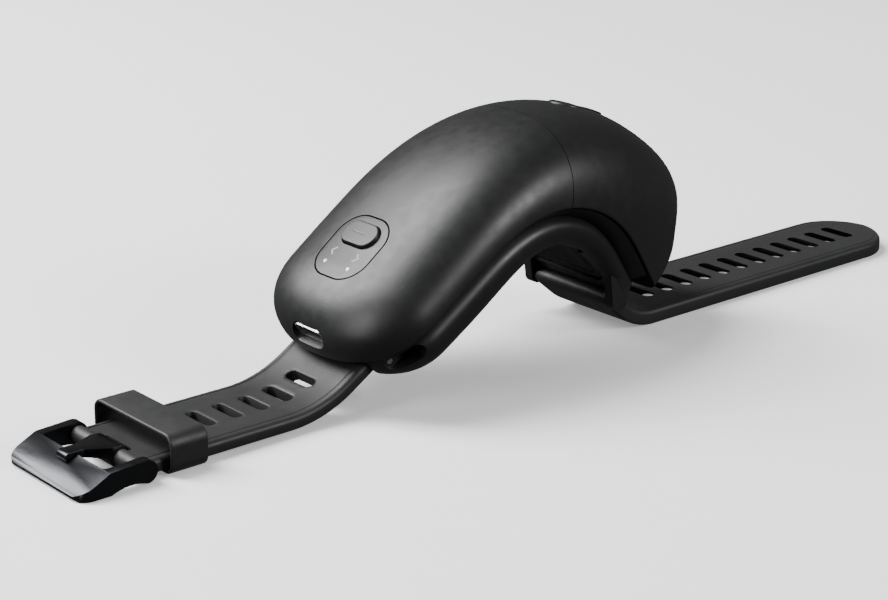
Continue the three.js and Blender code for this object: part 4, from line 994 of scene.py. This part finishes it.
FINISH = {
    "cover": shader("cover", (0.009, 0.0092, 0.0098), 0.42, grain=0.5, grain_size=0.22, speckle=0.12,
                    scuff=0.05),
    "tray": shader("tray", (0.009, 0.0092, 0.0098), 0.42, grain=0.4, grain_size=0.25),
    "silicone": shader("silicone", (0.009, 0.009, 0.0095), 0.6, grain=0.5, grain_size=0.3, sheen=0.03),
    "strap": shader("strap", (0.010, 0.0102, 0.0108), 0.52, grain=0.8, grain_size=0.28, speckle=0.28,
                    blotch=0.1, sheen=0.03),
    "button": shader("button", (0.014, 0.0143, 0.0152), 0.4, grain=0.35, grain_size=0.2),
    "steel": shader("steel", (0.55, 0.55, 0.56), 0.3, metallic=1.0, grain=0.3, grain_size=0.2,
                    stretch=(1, 0.1, 1)),
    "buckle": shader("buckle", (0.045, 0.046, 0.049), 0.3, metallic=1.0, grain=0.35, grain_size=0.3,
                     scuff=0.12, stretch=(1, 0.12, 1)),
    "board": shader("board", (0.01, 0.055, 0.03), 0.4, grain=0.3, grain_size=0.6, coat=0.3),
    "chip": shader("chip", (0.012, 0.012, 0.014), 0.5, grain=0.4, grain_size=0.15),
    "can": shader("can", (0.55, 0.56, 0.58), 0.32, metallic=1.0, grain=0.3, grain_size=0.4),
    "cell": shader("cell", (0.45, 0.46, 0.48), 0.35, metallic=0.8, grain=0.9, grain_size=1.2),
    "foam": shader("foam", (0.05, 0.05, 0.05), 0.9, grain=1.0, grain_size=0.4, speckle=0.3),
    "flex": shader("flex", (0.22, 0.10, 0.03), 0.35, grain=0.2, grain_size=0.5, coat=0.3),
    # Painted glow: the lens finish emits light, so the light guides shine though no lamp lies behind them.
    "lens": shader("lens", (0.8, 0.82, 0.85), 0.3, grain=0.1, grain_size=0.3, glow=0.25),
}
PRINT = shader("print", (0.36, 0.365, 0.37), 0.6, grain=0.2, grain_size=0.15)


def finish(piece, slot, body, nodes=(), material=None):
    """Gives a piece its material, the body it moves with and the CAD nodes it stands in for."""
    piece.data.materials.clear()
    piece.data.materials.append(material or FINISH[slot])
    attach(piece, body)
    if nodes:
        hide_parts(*nodes)


SLOTS = {entry["node"]: entry["material_slot"] for entry in frame["record"]["subparts"]}
for node, carried in frame["nodes"].items():
    carried.data.materials.clear()
    carried.data.materials.append(FINISH[SLOTS[node]])

# ------------------------------------------------------------------ assembly
finish(front_cover(), "cover", "housing", ["front_top_cover"])
finish(rear_cover(), "cover", "housing", ["rear_top_cover"])
finish(lower_housing(), "tray", "housing", ["lower_housing"])
finish(wrist_pad(), "silicone", "housing", ["wrist_pad"])
finish(switch_plate(), "button", "housing", ["switch_plate"])
finish(cap("power_button_cap", POWER_BUTTON, 0, POWER_BUTTON_RISE, 2.1, 0.28, FLANGE), "button",
       "power_button", ["power_button"])
finish(menu_bezel(), "button", "housing", ["menu_bezel"])
finish(cap("menu_button_cap", MENU_BUTTON, 0, MENU_BUTTON_RISE, 2.1, 0.3, FLANGE, dish=0.75), "button",
       "menu_button", ["menu_button"])
for (_, side), node in zip(GUIDES, ("right_light_guide", "left_light_guide")):
    finish(light_guide(node + "_tip", side), "lens", "housing", [node])
    # A chevron beside each light points to the side it stands for.
    away = 1 if side > 0 else -1
    along, across = GUIDE_AT - PLATE["at"] + 2.7, side * 0.98
    arms = [(along + 0.95, across - away * 0.4), (along, across + away * 0.5),
            (along - 0.95, across - away * 0.4)]
    finish(stroke(("left" if side > 0 else "right") + "_mark", arms), "button", "housing", material=PRINT)
finish(tail_strap(), "strap", "tail_strap", ["tail_strap"])
finish(buckle_strap(), "strap", "buckle_strap", ["buckle_strap"])
finish(keeper_loop(), "strap", "keeper", ["keeper_loop"])
finish(buckle_frame(), "buckle", "buckle_frame", ["buckle_frame"])
finish(buckle_tongue(), "buckle", "buckle_tongue", ["buckle_tongue"])
for end, pivot in (("nose", NOSE_PIVOT), ("heel", HEEL_PIVOT)):
    half = STRAP_WIDTH / 2 + GAP + BAR_REACH[end]
    finish(cylinder(end + "_bar", pivot[0], pivot[2], BAR_RADIUS, -half, half, 0.15), "steel", "housing",
           [end + "_spring_bar"])
pin_half = BUCKLE_WIDTH / 2 - PIN_COVER - PIVOT_GAP
finish(cylinder("pin_rod", PIN_X, PIN_Z, PIN_RADIUS, -pin_half, pin_half, 0.15), "steel", "buckle_strap",
       ["buckle_pin"])


# ------------------------------------------------------------------ stage, light and camera
def floor():
    mesh = bpy.data.meshes.new("floor")
    far = 4
    mesh.from_pydata([(-far, -far, 0), (far, -far, 0), (far, far, 0), (-far, far, 0)], [], [(0, 1, 2, 3)])
    piece = bpy.data.objects.new("floor", mesh)
    bpy.context.scene.collection.objects.link(piece)
    mesh.materials.append(shader("floor", (0.9, 0.9, 0.9), 0.8, grain=0.1, grain_size=3.0, speckle=0.01,
                                 blotch=0.01, glow=0.3))
    piece.location.z = cad_box[0][2] - 0.0001
    piece.visible_glossy = False
    piece.visible_diffuse = False


def softbox(name, place, aim, width, height, power):
    light = bpy.data.lights.new(name, "AREA")
    light.shape = "RECTANGLE"
    light.size, light.size_y, light.energy = width, height, power
    lamp = bpy.data.objects.new(name, light)
    bpy.context.scene.collection.objects.link(lamp)
    lamp.location = place
    lamp.rotation_euler = (Vector(aim) - Vector(place)).to_track_quat("-Z", "Y").to_euler()


floor()
world = bpy.data.worlds.new("studio")
bpy.context.scene.world = world
world.use_nodes = True
world.node_tree.nodes["Background"].inputs["Color"].default_value = (1, 1, 1, 1)
world.node_tree.nodes["Background"].inputs["Strength"].default_value = 0.10
LIT = (-0.018, 0, 0.02)
softbox("top_box", (-0.35, 0.55, 0.75), LIT, width=0.45, height=0.9, power=26)
softbox("left_box", (-0.9, 0.05, 0.3), LIT, width=0.3, height=0.7, power=5)
softbox("near_box", (0.45, -0.95, 0.5), LIT, width=0.35, height=0.35, power=9)

# The camera looks at the pod's nose from the front right, a little above the table.
TARGET = Vector((-40.3 + SHIFT, 0, 13.5)) * MM
BACK = Vector((-0.6114, -0.7209, 0.3261))
DISTANCE = 0.4434
FOCAL_LENGTH = 89.4284
lens = bpy.data.cameras.new("view")
lens.sensor_width = 36
lens.lens = FOCAL_LENGTH
lens.clip_start = 0.01
camera = bpy.data.objects.new("view", lens)
bpy.context.scene.collection.objects.link(camera)
camera.location = TARGET + BACK * DISTANCE
camera.rotation_euler = (-BACK).to_track_quat("-Z", "Y").to_euler()
bpy.context.scene.camera = camera
